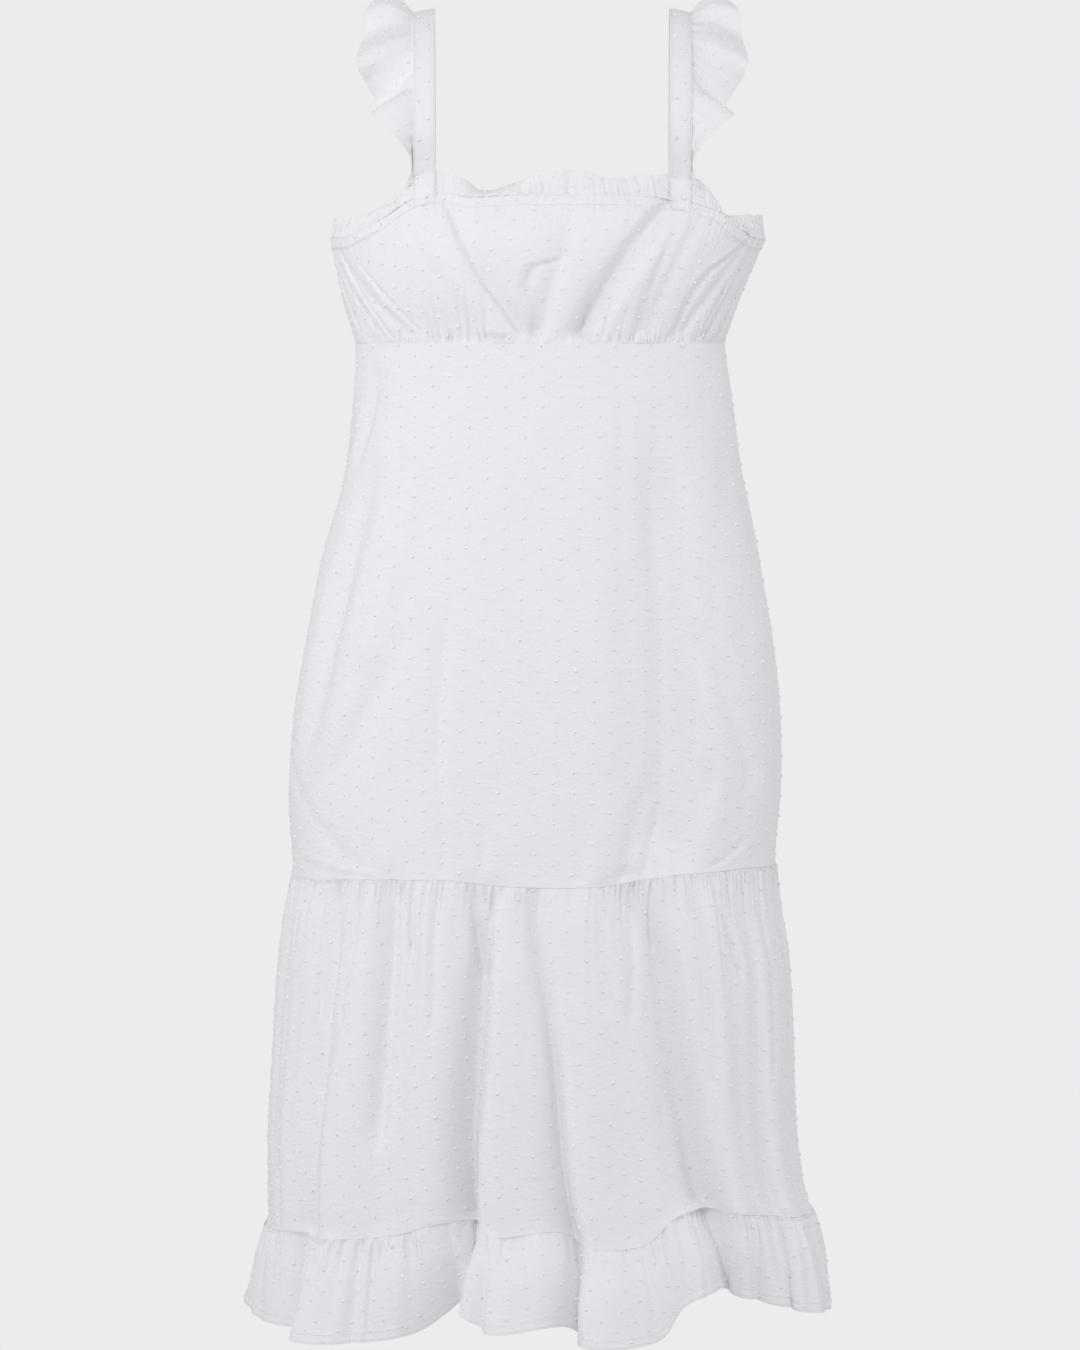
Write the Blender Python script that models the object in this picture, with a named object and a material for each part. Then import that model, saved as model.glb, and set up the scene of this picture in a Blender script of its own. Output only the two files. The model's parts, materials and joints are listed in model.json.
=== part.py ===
"""Cotton midi dress on a general figure, hollow and open at the neck, armholes and hem.

A gathered bodice with a frilled neckline hangs on two frilled straps. Below the underbust
seam come a plain skirt, a gathered tier and a gathered hem frill. Each panel is a cloth wall
made on rings that are read from the tables below. Metres, +Z up, the front faces -Y, and the
origin lies midway between the two points where the straps rest on the shoulders.
"""

import math
from collections import namedtuple

import bpy
from mathutils import Vector

# Cloth
WALL = 0.0012
SEAM_GAP = 0.0003
ROUNDNESS = 2.2

# Heights of the seams
UNDERBUST = -0.296
TIER_SEAM = -0.766
FRILL_SEAM = -1.068
HEM = -1.143

# Columns of points on each half of the dress. Stacked panels share the stations.
STATIONS = 32
GATHERED_COLUMNS = 2 * STATIONS

# The dress's outline: half-widths to the two side seams, and depths to front and back.
Ring = namedtuple("Ring", "height left right front back")
RINGS = (
    Ring(-0.140, 0.198, 0.199, 0.111, 0.098),
    Ring(-0.180, 0.197, 0.198, 0.119, 0.102),
    Ring(-0.209, 0.196, 0.187, 0.124, 0.103),
    Ring(-0.250, 0.188, 0.170, 0.122, 0.102),
    Ring(-0.285, 0.179, 0.158, 0.117, 0.100),
    Ring(-0.296, 0.176, 0.155, 0.116, 0.099),
    Ring(-0.340, 0.178, 0.161, 0.119, 0.098),
    Ring(-0.415, 0.187, 0.171, 0.128, 0.108),
    Ring(-0.487, 0.207, 0.186, 0.138, 0.128),
    Ring(-0.560, 0.222, 0.198, 0.147, 0.145),
    Ring(-0.632, 0.233, 0.205, 0.154, 0.152),
    Ring(-0.704, 0.2365, 0.2055, 0.160, 0.155),
    Ring(-0.766, 0.234, 0.201, 0.165, 0.157),
    Ring(-0.800, 0.241, 0.205, 0.171, 0.162),
    Ring(-0.8475, 0.247, 0.213, 0.177, 0.168),
    Ring(-0.920, 0.252, 0.218, 0.185, 0.178),
    Ring(-0.990, 0.257, 0.221, 0.192, 0.188),
    Ring(-1.040, 0.257, 0.227, 0.197, 0.195),
    Ring(-1.068, 0.257, 0.235, 0.200, 0.199),
    Ring(-1.100, 0.265, 0.246, 0.213, 0.212),
    Ring(-1.143, 0.272, 0.252, 0.222, 0.221),
)

# How far each lower seam is lifted by the way the cloth hangs, by angle round the figure.
# 0 degrees is the centre front, +90 the side seam on the +X side, and 180 the centre back.
Lift = namedtuple("Lift", "angle tier frill hem")
LIFTS = (
    Lift(-180, 0.000, -0.004, -0.006),
    Lift(-150, 0.000, 0.005, 0.006),
    Lift(-120, -0.002, -0.008, -0.010),
    Lift(-90, -0.005, -0.021, -0.020),
    Lift(-60, -0.003, -0.013, -0.023),
    Lift(-49, 0.000, -0.011, -0.023),
    Lift(-36, 0.003, -0.006, -0.019),
    Lift(-26, 0.004, 0.002, -0.009),
    Lift(-20, 0.005, 0.010, 0.014),
    Lift(-14, 0.003, 0.012, 0.014),
    Lift(-8, 0.001, 0.002, -0.001),
    Lift(2, -0.001, 0.006, 0.003),
    Lift(7, -0.001, -0.004, -0.010),
    Lift(18, 0.000, -0.008, -0.012),
    Lift(22, 0.002, 0.000, -0.006),
    Lift(26, 0.004, 0.014, 0.016),
    Lift(34, 0.007, 0.018, 0.024),
    Lift(45, 0.008, 0.012, 0.012),
    Lift(58, 0.008, 0.003, -0.002),
    Lift(72, 0.006, -0.004, -0.014),
    Lift(90, 0.004, -0.012, -0.017),
    Lift(120, 0.000, -0.006, -0.008),
    Lift(150, 0.000, 0.006, 0.006),
    Lift(180, 0.000, -0.004, -0.006),
)

# The neckline: height of its seam, how high the frill stands on it, and how far it leans in.
Neck = namedtuple("Neck", "angle seam rise lean")
NECKLINE = (
    Neck(-180, -0.196, 0.018, 0.002),
    Neck(-140, -0.197, 0.018, 0.000),
    Neck(-120, -0.201, 0.016, 0.004),
    Neck(-90, -0.203, 0.017, 0.001),
    Neck(-80, -0.202, 0.016, 0.002),
    Neck(-66, -0.202, 0.016, 0.004),
    Neck(-58, -0.197, 0.015, 0.006),
    Neck(-50, -0.190, 0.014, 0.007),
    Neck(-44, -0.182, 0.013, 0.006),
    Neck(-38, -0.172, 0.016, 0.003),
    Neck(-33, -0.167, 0.020, 0.000),
    Neck(-28, -0.165, 0.018, 0.000),
    Neck(-24, -0.166, 0.017, 0.003),
    Neck(-19, -0.169, 0.006, 0.014),
    Neck(-13, -0.168, 0.007, 0.013),
    Neck(-8, -0.167, 0.011, 0.009),
    Neck(-3, -0.167, 0.020, 0.004),
    Neck(2, -0.167, 0.021, 0.001),
    Neck(8, -0.167, 0.019, 0.002),
    Neck(12, -0.167, 0.014, 0.005),
    Neck(22, -0.168, 0.017, 0.006),
    Neck(29, -0.170, 0.021, 0.001),
    Neck(36, -0.173, 0.021, 0.000),
    Neck(41, -0.177, 0.020, 0.003),
    Neck(46, -0.181, 0.014, 0.007),
    Neck(51, -0.189, 0.008, 0.012),
    Neck(60, -0.197, 0.013, 0.010),
    Neck(70, -0.202, 0.019, 0.005),
    Neck(90, -0.203, 0.020, 0.001),
    Neck(120, -0.201, 0.016, 0.004),
    Neck(140, -0.197, 0.018, 0.000),
    Neck(180, -0.196, 0.018, 0.002),
)

# The largest folds. A fold runs from its head down to its foot, and a minus depth goes in.
# The belly is depth added halfway along the fold.
Fold = namedtuple(
    "Fold",
    "head_angle head_height foot_angle foot_height half_width head_depth foot_depth belly",
    defaults=(0.0,),
)
BODICE_FOLDS = (
    Fold(-26, -0.175, -4, -0.284, 4.5, -0.002, -0.004),
    Fold(-33, -0.190, -12, -0.284, 6.0, 0.002, 0.003),
    Fold(3, -0.214, 0, -0.284, 4.5, -0.004, -0.007),
    Fold(30, -0.175, 11, -0.284, 7.0, -0.006, -0.010),
    Fold(38, -0.195, 31, -0.284, 5.0, -0.002, -0.005),
    Fold(66, -0.205, 46, -0.284, 5.0, -0.002, -0.003),
    Fold(71, -0.220, 60, -0.284, 4.0, -0.002, -0.004),
    Fold(-74, -0.215, -42, -0.284, 5.0, -0.001, -0.002),
    Fold(-79, -0.222, -55, -0.284, 4.0, -0.001, -0.001),
    Fold(155, -0.215, 165, -0.284, 6.0, -0.001, -0.004),
    Fold(-150, -0.215, -162, -0.284, 6.0, -0.001, -0.004),
    Fold(125, -0.225, 138, -0.284, 6.0, -0.001, -0.003),
    Fold(-122, -0.225, -136, -0.284, 6.0, -0.001, -0.003),
)
SKIRT_FOLDS = (
    Fold(28, -0.400, 27, -0.830, 17.0, 0.000, 0.000, -0.008),
    Fold(42, -0.690, 27, -0.830, 5.0, -0.005, 0.000),
    Fold(42, -0.570, 57, -0.700, 6.0, -0.004, 0.000),
    Fold(-57, -0.390, -69, -0.660, 9.0, 0.000, 0.000, -0.009),
    Fold(-57, -0.315, -71, -0.415, 8.0, 0.000, 0.000, -0.006),
    Fold(-36, -0.570, -57, -0.760, 8.0, 0.000, 0.000, -0.004),
    Fold(-22, -0.560, -22, -0.800, 4.0, -0.002, 0.000),
    Fold(-84, -0.660, -44, -0.755, 7.0, -0.0015, -0.0015),
    Fold(160, -0.600, 163, -1.190, 9.0, -0.002, -0.024),
    Fold(-163, -0.640, -160, -1.190, 9.0, -0.002, -0.022),
)
TIER_FOLDS = (
    Fold(-11, -0.785, -19, -1.190, 7.5, -0.007, -0.031),
    Fold(0.5, -0.790, 4.5, -1.190, 6.0, -0.004, -0.012),
    Fold(21, -0.778, 36, -1.190, 10.5, -0.010, -0.023),
    Fold(-52, -0.790, -66, -1.190, 8.0, -0.004, -0.014),
    Fold(-32, -0.780, -33, -1.060, 6.0, -0.005, 0.000),
    Fold(-39, -0.850, -44, -1.190, 9.0, 0.003, 0.012),
    Fold(-3, -0.850, -2, -1.190, 7.0, 0.003, 0.010),
    Fold(9, -0.800, 17, -1.190, 9.0, 0.004, 0.016),
    Fold(44, -0.800, 47, -1.190, 7.0, 0.003, 0.009),
    Fold(55, -0.790, 56, -1.190, 5.0, -0.001, -0.006),
    Fold(66, -0.850, 67, -1.190, 8.0, 0.002, 0.008),
    Fold(134, -0.760, 131, -1.190, 9.0, -0.004, -0.020),
    Fold(-138, -0.760, -134, -1.190, 10.0, -0.004, -0.021),
    Fold(108, -0.800, 107, -1.190, 7.0, -0.003, -0.010),
    Fold(-110, -0.800, -108, -1.190, 7.0, -0.003, -0.010),
    Fold(180, -0.800, 180, -1.190, 12.0, 0.002, 0.012),
    Fold(147, -0.820, 147, -1.190, 9.0, 0.002, 0.010),
    Fold(-149, -0.820, -148, -1.190, 9.0, 0.002, 0.010),
    Fold(120, -0.820, 119, -1.190, 8.0, 0.002, 0.008),
    Fold(-122, -0.820, -121, -1.190, 9.0, 0.002, 0.008),
)
HEM_FRILL_FOLDS = (
    Fold(-85, -1.066, -86, -1.160, 9.0, 0.000, 0.010),
    Fold(-64, -1.066, -63, -1.160, 11.5, 0.000, -0.031),
    Fold(-42, -1.066, -41, -1.160, 12.0, 0.000, 0.014),
    Fold(-23, -1.066, -24, -1.160, 9.0, 0.000, -0.034),
    Fold(-1, -1.066, -1, -1.160, 8.0, 0.000, 0.012),
    Fold(15, -1.066, 15, -1.160, 9.0, 0.000, 0.018),
    Fold(38, -1.066, 42, -1.160, 12.5, 0.000, -0.024),
    Fold(63, -1.066, 64, -1.160, 8.0, 0.000, 0.012),
    Fold(70, -1.066, 70, -1.160, 5.0, 0.000, -0.008),
    Fold(81, -1.066, 82, -1.160, 8.0, 0.000, 0.006),
    Fold(111, -1.066, 112, -1.160, 7.0, 0.000, -0.012),
    Fold(124, -1.066, 125, -1.160, 9.0, 0.000, 0.012),
    Fold(137, -1.066, 137, -1.160, 7.0, 0.000, -0.012),
    Fold(150, -1.066, 149, -1.160, 9.0, 0.000, 0.012),
    Fold(163, -1.066, 164, -1.160, 8.0, 0.000, -0.016),
    Fold(179, -1.066, 178, -1.160, 11.0, 0.000, 0.014),
    Fold(-161, -1.066, -162, -1.160, 8.0, 0.000, -0.016),
    Fold(-147, -1.066, -147, -1.160, 9.0, 0.000, 0.012),
    Fold(-134, -1.066, -133, -1.160, 7.0, 0.000, -0.014),
    Fold(-121, -1.066, -121, -1.160, 9.0, 0.000, 0.012),
    Fold(-109, -1.066, -108, -1.160, 7.0, 0.000, -0.012),
)
FOLDS = BODICE_FOLDS + SKIRT_FOLDS + TIER_FOLDS + HEM_FRILL_FOLDS
FADE_ABOVE = 0.035
FADE_BELOW = 0.011
OVERHANG = 0.002
HEM_OVERHANG = 0.006
HEM_OVERHANG_REACH = 0.050
# Below the tier's seam a fold leans to one side and is steeper on that side
FOLD_LEAN = 0.35
FOLD_LEAN_REACH = 0.080
FOLD_SKEW = 0.35

# The bust: where the front bodice is fullest, and by how much
BUST_HEIGHT = -0.232
BUST_ACROSS = 0.085
BUST_SPREAD = 0.060
BUST_REACH = 0.042
BUST_FULLNESS = 0.004
BUST_FADE = 0.030

# Gathers. Depths are half of a wave's height, and reaches are how far from its seam a gather
# or a flute runs until it has faded or is full.
GATHERS = STATIONS
BODICE_GATHER = 0.0016
BODICE_GATHER_REACH = 0.040
TIER_GATHER = 0.0028
TIER_GATHER_REACH = 0.100
TIER_FLUTE = 0.0020
TIER_FLUTE_REACH = 0.150
TIER_SETTLES_AT = 0.9
HEM_GATHER = 0.0030
HEM_GATHER_REACH = 0.060
HEM_FLUTE = 0.0045
HEM_FLUTE_REACH = 0.070
HEM_UNEVENNESS_TURN = 40.0
NECK_FLUTE = 0.0022
PINCH = 0.012

# Where the rows of points lie, as shares of the way down each panel
BODICE_ROWS = (0.0, 0.12, 0.26, 0.40, 0.54, 0.68, 0.80, 0.90, 1.0)
SKIRT_ROWS = (0.0, 0.10, 0.22, 0.36, 0.50, 0.64, 0.78, 0.90, 1.0)
TIER_ROWS = (0.0, 0.05, 0.16, 0.34, 0.54, 0.74, 0.90, 1.0)
HEM_FRILL_ROWS = (0.0, 0.18, 0.45, 0.72, 1.0)
NECK_FRILL_UPS = (1.0, 0.5)

# Straps, from the inner edge to the outer edge, and where their ends are sewn on
STRAP_INNER = 0.102
STRAP_WIDTH = 0.019
STRAP_SPLAY = 0.020
STRAP_END_BELOW_SEAM = 0.010
STRAP_BEND_ROOM = 0.0005
STRAP_OFF_PANEL = WALL / 2 + SEAM_GAP + STRAP_BEND_ROOM
NECKLINE_AT_STRAPS = -0.165
CLEAR_BELOW_SEAM = 0.0015
CLEAR_ABOVE_SEAM = 0.0025
CLEAR_OF_FRILL_EDGE = 0.002
FLAT_BESIDE_STRAP = 0.004
FLAT_FADE = 0.008
SHOULDER_SLOPE = 0.20
STRAP_ROWS = 26
SEWN_ROWS = 7
Way = namedtuple("Way", "depth height")
OVER_THE_SHOULDER = (
    Way(-0.112, -0.112),
    Way(-0.098, -0.074),
    Way(-0.070, -0.036),
    Way(-0.036, -0.009),
    Way(0.000, 0.000),
    Way(0.036, -0.010),
    Way(0.066, -0.042),
    Way(0.087, -0.090),
    Way(0.096, -0.140),
)

# The strap frill's free edge from the front neckline, over the shoulder, to the back one:
# how far it stands out, up and forward of the strap's edge, and how much the cloth bows.
Flutter = namedtuple("Flutter", "along out up forward bow")
STRAP_FRILL = (
    Flutter(0.00, 0.004, -0.001, 0.002, 0.000),
    Flutter(0.05, 0.003, -0.003, 0.008, 0.001),
    Flutter(0.10, 0.009, -0.005, 0.011, 0.002),
    Flutter(0.15, 0.022, -0.012, 0.012, 0.003),
    Flutter(0.20, 0.037, -0.018, 0.012, 0.004),
    Flutter(0.25, 0.031, -0.029, -0.018, -0.003),
    Flutter(0.30, 0.042, -0.028, 0.000, -0.003),
    Flutter(0.345, 0.050, -0.024, 0.022, 0.003),
    Flutter(0.39, 0.046, -0.012, -0.004, 0.005),
    Flutter(0.44, 0.043, 0.004, 0.006, 0.008),
    Flutter(0.49, 0.032, 0.014, -0.010, 0.008),
    Flutter(0.55, 0.036, 0.008, -0.008, 0.007),
    Flutter(0.60, 0.044, -0.008, 0.006, 0.004),
    Flutter(0.65, 0.042, -0.018, -0.014, 0.003),
    Flutter(0.70, 0.033, -0.024, -0.002, -0.003),
    Flutter(0.75, 0.021, -0.016, -0.022, -0.003),
    Flutter(0.80, 0.009, -0.008, -0.030, 0.003),
    Flutter(0.87, 0.005, -0.007, -0.022, 0.002),
    Flutter(0.94, 0.004, -0.004, -0.010, 0.001),
    Flutter(1.00, 0.003, -0.001, -0.002, 0.000),
)
STRAP_FRILL_COLUMNS = 44
STRAP_FRILL_ROWS = 4

WHITE_COTTON = (0.86, 0.86, 0.88, 1.0)


def clear_scene():
    for obj in list(bpy.data.objects):
        bpy.data.objects.remove(obj, do_unlink=True)


def cotton(name):
    material = bpy.data.materials.new(name)
    material.use_nodes = True
    shader = material.node_tree.nodes["Principled BSDF"]
    shader.inputs["Base Color"].default_value = WHITE_COTTON
    shader.inputs["Roughness"].default_value = 0.9
    shader.inputs["Metallic"].default_value = 0.0
    return material


def read(table, column, at):
    """A column of a table as a smooth curve over the table's first column."""
    keys = [row[0] for row in table]
    values = [getattr(row, column) for row in table]
    rising = 1 if keys[-1] > keys[0] else -1
    at = min(max(at, min(keys)), max(keys))
    i = 0
    while i < len(keys) - 2 and (at - keys[i + 1]) * rising > 0:
        i += 1

    def slope(k):
        low, high = max(k - 1, 0), min(k + 1, len(keys) - 1)
        return (values[high] - values[low]) / (keys[high] - keys[low])

    step = keys[i + 1] - keys[i]
    t = (at - keys[i]) / step
    start = (1 + 2 * t) * (1 - t) ** 2 * values[i] + t * (1 - t) ** 2 * step * slope(i)
    end = t * t * (3 - 2 * t) * values[i + 1] + t * t * (t - 1) * step * slope(i + 1)
    return start + end


def eased(t):
    t = min(max(t, 0.0), 1.0)
    return t * t * (3 - 2 * t)


def signed_power(value, power):
    return math.copysign(abs(value) ** power, value)


def turned(angle):
    """The same angle between -180 and 180 degrees."""
    return (angle + 180.0) % 360.0 - 180.0


def fold_depth(angle, height):
    """How far the large folds move the cloth out at this place."""
    total = 0.0
    skew = FOLD_SKEW * eased((TIER_SEAM - height) / FOLD_LEAN_REACH)
    for fold in FOLDS:
        down = (fold.head_height - height) / (fold.head_height - fold.foot_height)
        along = min(max(down, 0.0), 1.0)
        centre = fold.head_angle + (fold.foot_angle - fold.head_angle) * along
        off = turned(angle - centre) / fold.half_width
        if abs(off) >= 1.0:
            continue
        side = (fold.foot_depth > 0) - (fold.foot_depth < 0)
        off += side * skew * (1 - off**2)
        above = (height - fold.head_height) / FADE_ABOVE
        below = (fold.foot_height - height) / FADE_BELOW
        strength = (1 - eased(above)) * (1 - eased(below))
        depth = fold.head_depth + (fold.foot_depth - fold.head_depth) * along
        depth += 4 * fold.belly * along * (1 - along)
        total += strength * depth * (1 + math.cos(math.pi * off)) / 2
    return total


def bust(x, height):
    """The fullness that the bust gives the front bodice, in two soft rounds."""
    if height < UNDERBUST:
        return 0.0
    over = math.exp(-(((height - BUST_HEIGHT) / BUST_REACH) ** 2))
    foot = eased((height - UNDERBUST) / BUST_FADE)
    left = math.exp(-(((x + BUST_ACROSS) / BUST_SPREAD) ** 2))
    right = math.exp(-(((x - BUST_ACROSS) / BUST_SPREAD) ** 2))
    return BUST_FULLNESS * over * foot * (left + right)


def ring_sizes(height):
    left, right = read(RINGS, "left", height), read(RINGS, "right", height)
    return (right - left) / 2, (right + left) / 2


def cloth(angle, height, out=0.0):
    """The middle of the cloth at an angle, on the ring of this height, moved out by `out`."""
    middle, half = ring_sizes(height)
    turn = math.radians(angle)
    front = abs(turned(angle)) <= 90.0
    depth = read(RINGS, "front" if front else "back", height)
    sine, cosine = math.sin(turn), math.cos(turn)
    x = middle + half * signed_power(sine, 2 / ROUNDNESS)
    y = -depth * signed_power(cosine, 2 / ROUNDNESS)
    outward = Vector((sine / half, -cosine / depth, 0.0)).normalized()
    along = Vector((-outward.y, outward.x, 0.0))
    nudge = 1.0
    change = fold_depth(angle + nudge, height) - fold_depth(angle - nudge, height)
    slope = change / (2 * math.radians(nudge) * math.hypot(half, depth))
    folds = fold_depth(angle, height)
    lean = FOLD_LEAN * folds * eased((TIER_SEAM - height) / FOLD_LEAN_REACH)
    reach = folds + out
    if front:
        reach += bust(x, height)
    overhang = OVERHANG + HEM_OVERHANG * eased((FRILL_SEAM - height) / HEM_OVERHANG_REACH)
    return Vector((x, y, height)) + outward * reach - along * (overhang * slope + lean)


def wave(angle, count):
    """A wave with `count` crests on each half of the dress."""
    return math.cos(2 * math.pi * count * (angle + 90.0) / 180.0)


def unevenness(angle):
    """Makes neighbouring gathers differ: a slow mix of waves between 0.5 and 1.5."""
    turn = math.radians(angle)
    return 1.0 + 0.3 * math.sin(5 * turn + 1.1) + 0.2 * math.sin(13 * turn + 0.4)


def tier_wave(angle, below):
    """Gathers under the tier's seam that run out into half as many wide flutes."""
    start = eased(below / PINCH)
    gathers = TIER_GATHER * wave(angle, GATHERS) * math.exp(-below / TIER_GATHER_REACH)
    flutes = TIER_FLUTE * wave(angle, GATHERS / 2) * eased(below / TIER_FLUTE_REACH)
    return start * (gathers + flutes) * unevenness(angle)


def hem_wave(angle, below):
    start = eased(below / PINCH)
    gathers = HEM_GATHER * wave(angle, GATHERS) * (1 - eased(below / HEM_GATHER_REACH))
    flutes = HEM_FLUTE * wave(angle, GATHERS / 2) * eased(below / HEM_FLUTE_REACH)
    return start * (gathers + flutes) * unevenness(angle + HEM_UNEVENNESS_TURN)


def bodice_wave(angle, above):
    start = eased(above / PINCH)
    return start * BODICE_GATHER * wave(angle, GATHERS) * math.exp(-above / BODICE_GATHER_REACH)


def under_a_strap(x):
    """1 where a strap lies on the neckline, and 0 away from it."""
    off = abs(abs(x) - (STRAP_INNER + STRAP_WIDTH / 2)) - STRAP_WIDTH / 2
    return 1 - eased((off - FLAT_BESIDE_STRAP) / FLAT_FADE)


def angles_of(side, columns):
    """Angles of the columns across the front or the back, from one side seam to the other."""
    start = -90.0 if side == "front" else 90.0
    return [start + 180.0 * i / columns for i in range(columns + 1)]


def at_stations(function, side, columns):
    """Values at the shared stations, and straight lines between them."""
    angles = angles_of(side, STATIONS)
    known = [function(angle) for angle in angles]
    values = []
    for i in range(columns + 1):
        place = i * STATIONS / columns
        low = min(int(place), STATIONS - 1)
        values.append(known[low] + (known[low + 1] - known[low]) * (place - low))
    return values


def seam_points(side, columns, nominal, lift):
    """The seam line that two stacked panels share."""

    def point(angle):
        place = cloth(angle, nominal)
        place.z += read(LIFTS, lift, turned(angle)) if lift else 0.0
        return place

    return at_stations(point, side, columns)


def close_side_seams(grid, side):
    """Sets the panel's two side edges just short of the plane that the side seams share."""
    for row in grid:
        for point in (row[0], row[-1]):
            point.y = -SEAM_GAP / 2 if side == "front" else SEAM_GAP / 2


def panel(side, columns, downs, top, foot, bulge):
    """Rows of points from the seam line `top` down to the line `foot`."""
    grid = []
    for down in downs:
        row = []
        for i, angle in enumerate(angles_of(side, columns)):
            if down <= 0.0:
                row.append(top[i] - Vector((0, 0, SEAM_GAP / 2)))
            elif down >= 1.0 and foot is not None:
                row.append(foot[i] + Vector((0, 0, SEAM_GAP / 2)))
            else:
                row.append(bulge(angle, down))
        grid.append(row)
    close_side_seams(grid, side)
    return grid


def surface_normals(grid):
    rows, columns = len(grid), len(grid[0])
    normals = []
    for r in range(rows):
        line = []
        for c in range(columns):
            across = grid[r][min(c + 1, columns - 1)] - grid[r][max(c - 1, 0)]
            down = grid[min(r + 1, rows - 1)][c] - grid[max(r - 1, 0)][c]
            line.append(down.cross(across).normalized())
        normals.append(line)
    return normals


def seam_normals(row):
    """Level normals along a seam, found at the stations so that both panels' walls agree."""
    step = (len(row) - 1) // STATIONS
    known = []
    for i in range(STATIONS + 1):
        along = row[min(i + 1, STATIONS) * step] - row[max(i - 1, 0) * step]
        at_side = i in (0, STATIONS)
        known.append(Vector((along.y, 0.0 if at_side else -along.x, 0.0)).normalized())
    normals = []
    for i in range(len(row)):
        k = min(i // step, STATIONS - 1)
        normals.append(known[k].lerp(known[k + 1], i / step - k))
    return normals


def square_to_seams(grid, normals, sewn_rows):
    """Keeps a body panel's wall square to its seams, so that walls meet face to face."""
    for r in sewn_rows:
        normals[r] = seam_normals(grid[r])
    for row in normals:
        for i in (0, -1):
            row[i] = Vector((row[i].x, 0.0, 0.0)).normalized()


def wall_object(name, grid, normals, material):
    """A closed wall of cloth, half its thickness to each side of the grid of points."""
    rows, columns = len(grid), len(grid[0])
    points = []
    for half in (WALL / 2, -WALL / 2):
        for r in range(rows):
            points += [grid[r][c] + normals[r][c] * half for c in range(columns)]
    inside = rows * columns

    def at(r, c):
        return r * columns + c

    faces = []
    for r in range(rows - 1):
        for c in range(columns - 1):
            a, b, d, e = at(r, c), at(r, c + 1), at(r + 1, c), at(r + 1, c + 1)
            one = (grid[r][c] - grid[r + 1][c + 1]).length
            other = (grid[r][c + 1] - grid[r + 1][c]).length
            halves = ((a, d, e), (a, e, b)) if one <= other else ((a, d, b), (b, d, e))
            for face in halves:
                faces.append(face)
                faces.append(tuple(inside + i for i in reversed(face)))
    rim = [at(0, c) for c in range(columns)]
    rim += [at(r, columns - 1) for r in range(1, rows)]
    rim += [at(rows - 1, c) for c in range(columns - 2, -1, -1)]
    rim += [at(r, 0) for r in range(rows - 2, 0, -1)]
    for i, start in enumerate(rim):
        end = rim[(i + 1) % len(rim)]
        faces.append((start, end, inside + end))
        faces.append((start, inside + end, inside + start))
    mesh = bpy.data.meshes.new(name)
    mesh.from_pydata([tuple(point) for point in points], [], faces)
    mesh.materials.append(material)
    mesh.shade_smooth()
    mesh.set_sharp_from_angle(angle=math.radians(50))
    obj = bpy.data.objects.new(name, mesh)
    bpy.context.scene.collection.objects.link(obj)
    return obj


def body_wall(name, grid, sewn_rows, material):
    normals = surface_normals(grid)
    square_to_seams(grid, normals, sewn_rows)
    return wall_object(name, grid, normals, material)


def neck_seam(side, columns):
    """The line where the bodice ends and the neck frill stands on it."""

    def point(angle):
        return cloth(angle, read(NECKLINE, "seam", turned(angle)))

    return at_stations(point, side, columns)


def make_bodice(side, material):
    columns = GATHERED_COLUMNS if side == "front" else STATIONS
    top = neck_seam(side, columns)
    foot = seam_points(side, columns, UNDERBUST, None)

    def bulge(angle, down):
        seam = read(NECKLINE, "seam", turned(angle))
        height = seam + (UNDERBUST - seam) * down
        gather = bodice_wave(angle, height - UNDERBUST) if side == "front" else 0.0
        return cloth(angle, height, gather)

    grid = panel(side, columns, BODICE_ROWS, top, foot, bulge)
    return body_wall("bodice_" + side, grid, (0, -1), material)


def neck_frill_point(angle, up):
    seam = read(NECKLINE, "seam", turned(angle))
    rise, lean = read(NECKLINE, "rise", turned(angle)), read(NECKLINE, "lean", turned(angle))
    place = cloth(angle, seam)
    flat = under_a_strap(place.x)
    flute = NECK_FLUTE * wave(angle, GATHERS / 2) * (1 - flat)
    inward = Vector((-place.x, -place.y, 0.0)).normalized()
    bent = inward * (lean * up * up - flute * up)
    return place + bent + Vector((0, 0, rise * up))


def make_neck_frill(side, material):
    seam = neck_seam(side, GATHERED_COLUMNS)
    angles = angles_of(side, GATHERED_COLUMNS)
    grid = []
    for up in NECK_FRILL_UPS:
        grid.append([neck_frill_point(angle, up) for angle in angles])
    grid.append([point + Vector((0, 0, SEAM_GAP / 2)) for point in seam])
    close_side_seams(grid, side)
    return body_wall("neck_frill_" + side, grid, (-1,), material)


def make_skirt(side, material):
    top = seam_points(side, STATIONS, UNDERBUST, None)
    foot = seam_points(side, STATIONS, TIER_SEAM, "tier")

    def bulge(angle, down):
        place = cloth(angle, UNDERBUST + (TIER_SEAM - UNDERBUST) * down)
        place.z += read(LIFTS, "tier", turned(angle)) * down
        return place

    grid = panel(side, STATIONS, SKIRT_ROWS, top, foot, bulge)
    return body_wall("skirt_" + side, grid, (0, -1), material)


def make_tier(side, material):
    top = seam_points(side, GATHERED_COLUMNS, TIER_SEAM, "tier")
    foot = seam_points(side, GATHERED_COLUMNS, FRILL_SEAM, "frill")

    def bulge(angle, down):
        length = TIER_SEAM - FRILL_SEAM
        settled = eased((down - TIER_SETTLES_AT) / (1 - TIER_SETTLES_AT))
        out = tier_wave(angle, length * down) * (1 - settled)
        place = cloth(angle, TIER_SEAM - length * down, out)
        tier, frill = (read(LIFTS, name, turned(angle)) for name in ("tier", "frill"))
        place.z += tier + (frill - tier) * down
        return place

    grid = panel(side, GATHERED_COLUMNS, TIER_ROWS, top, foot, bulge)
    return body_wall("tier_" + side, grid, (0, -1), material)


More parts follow.
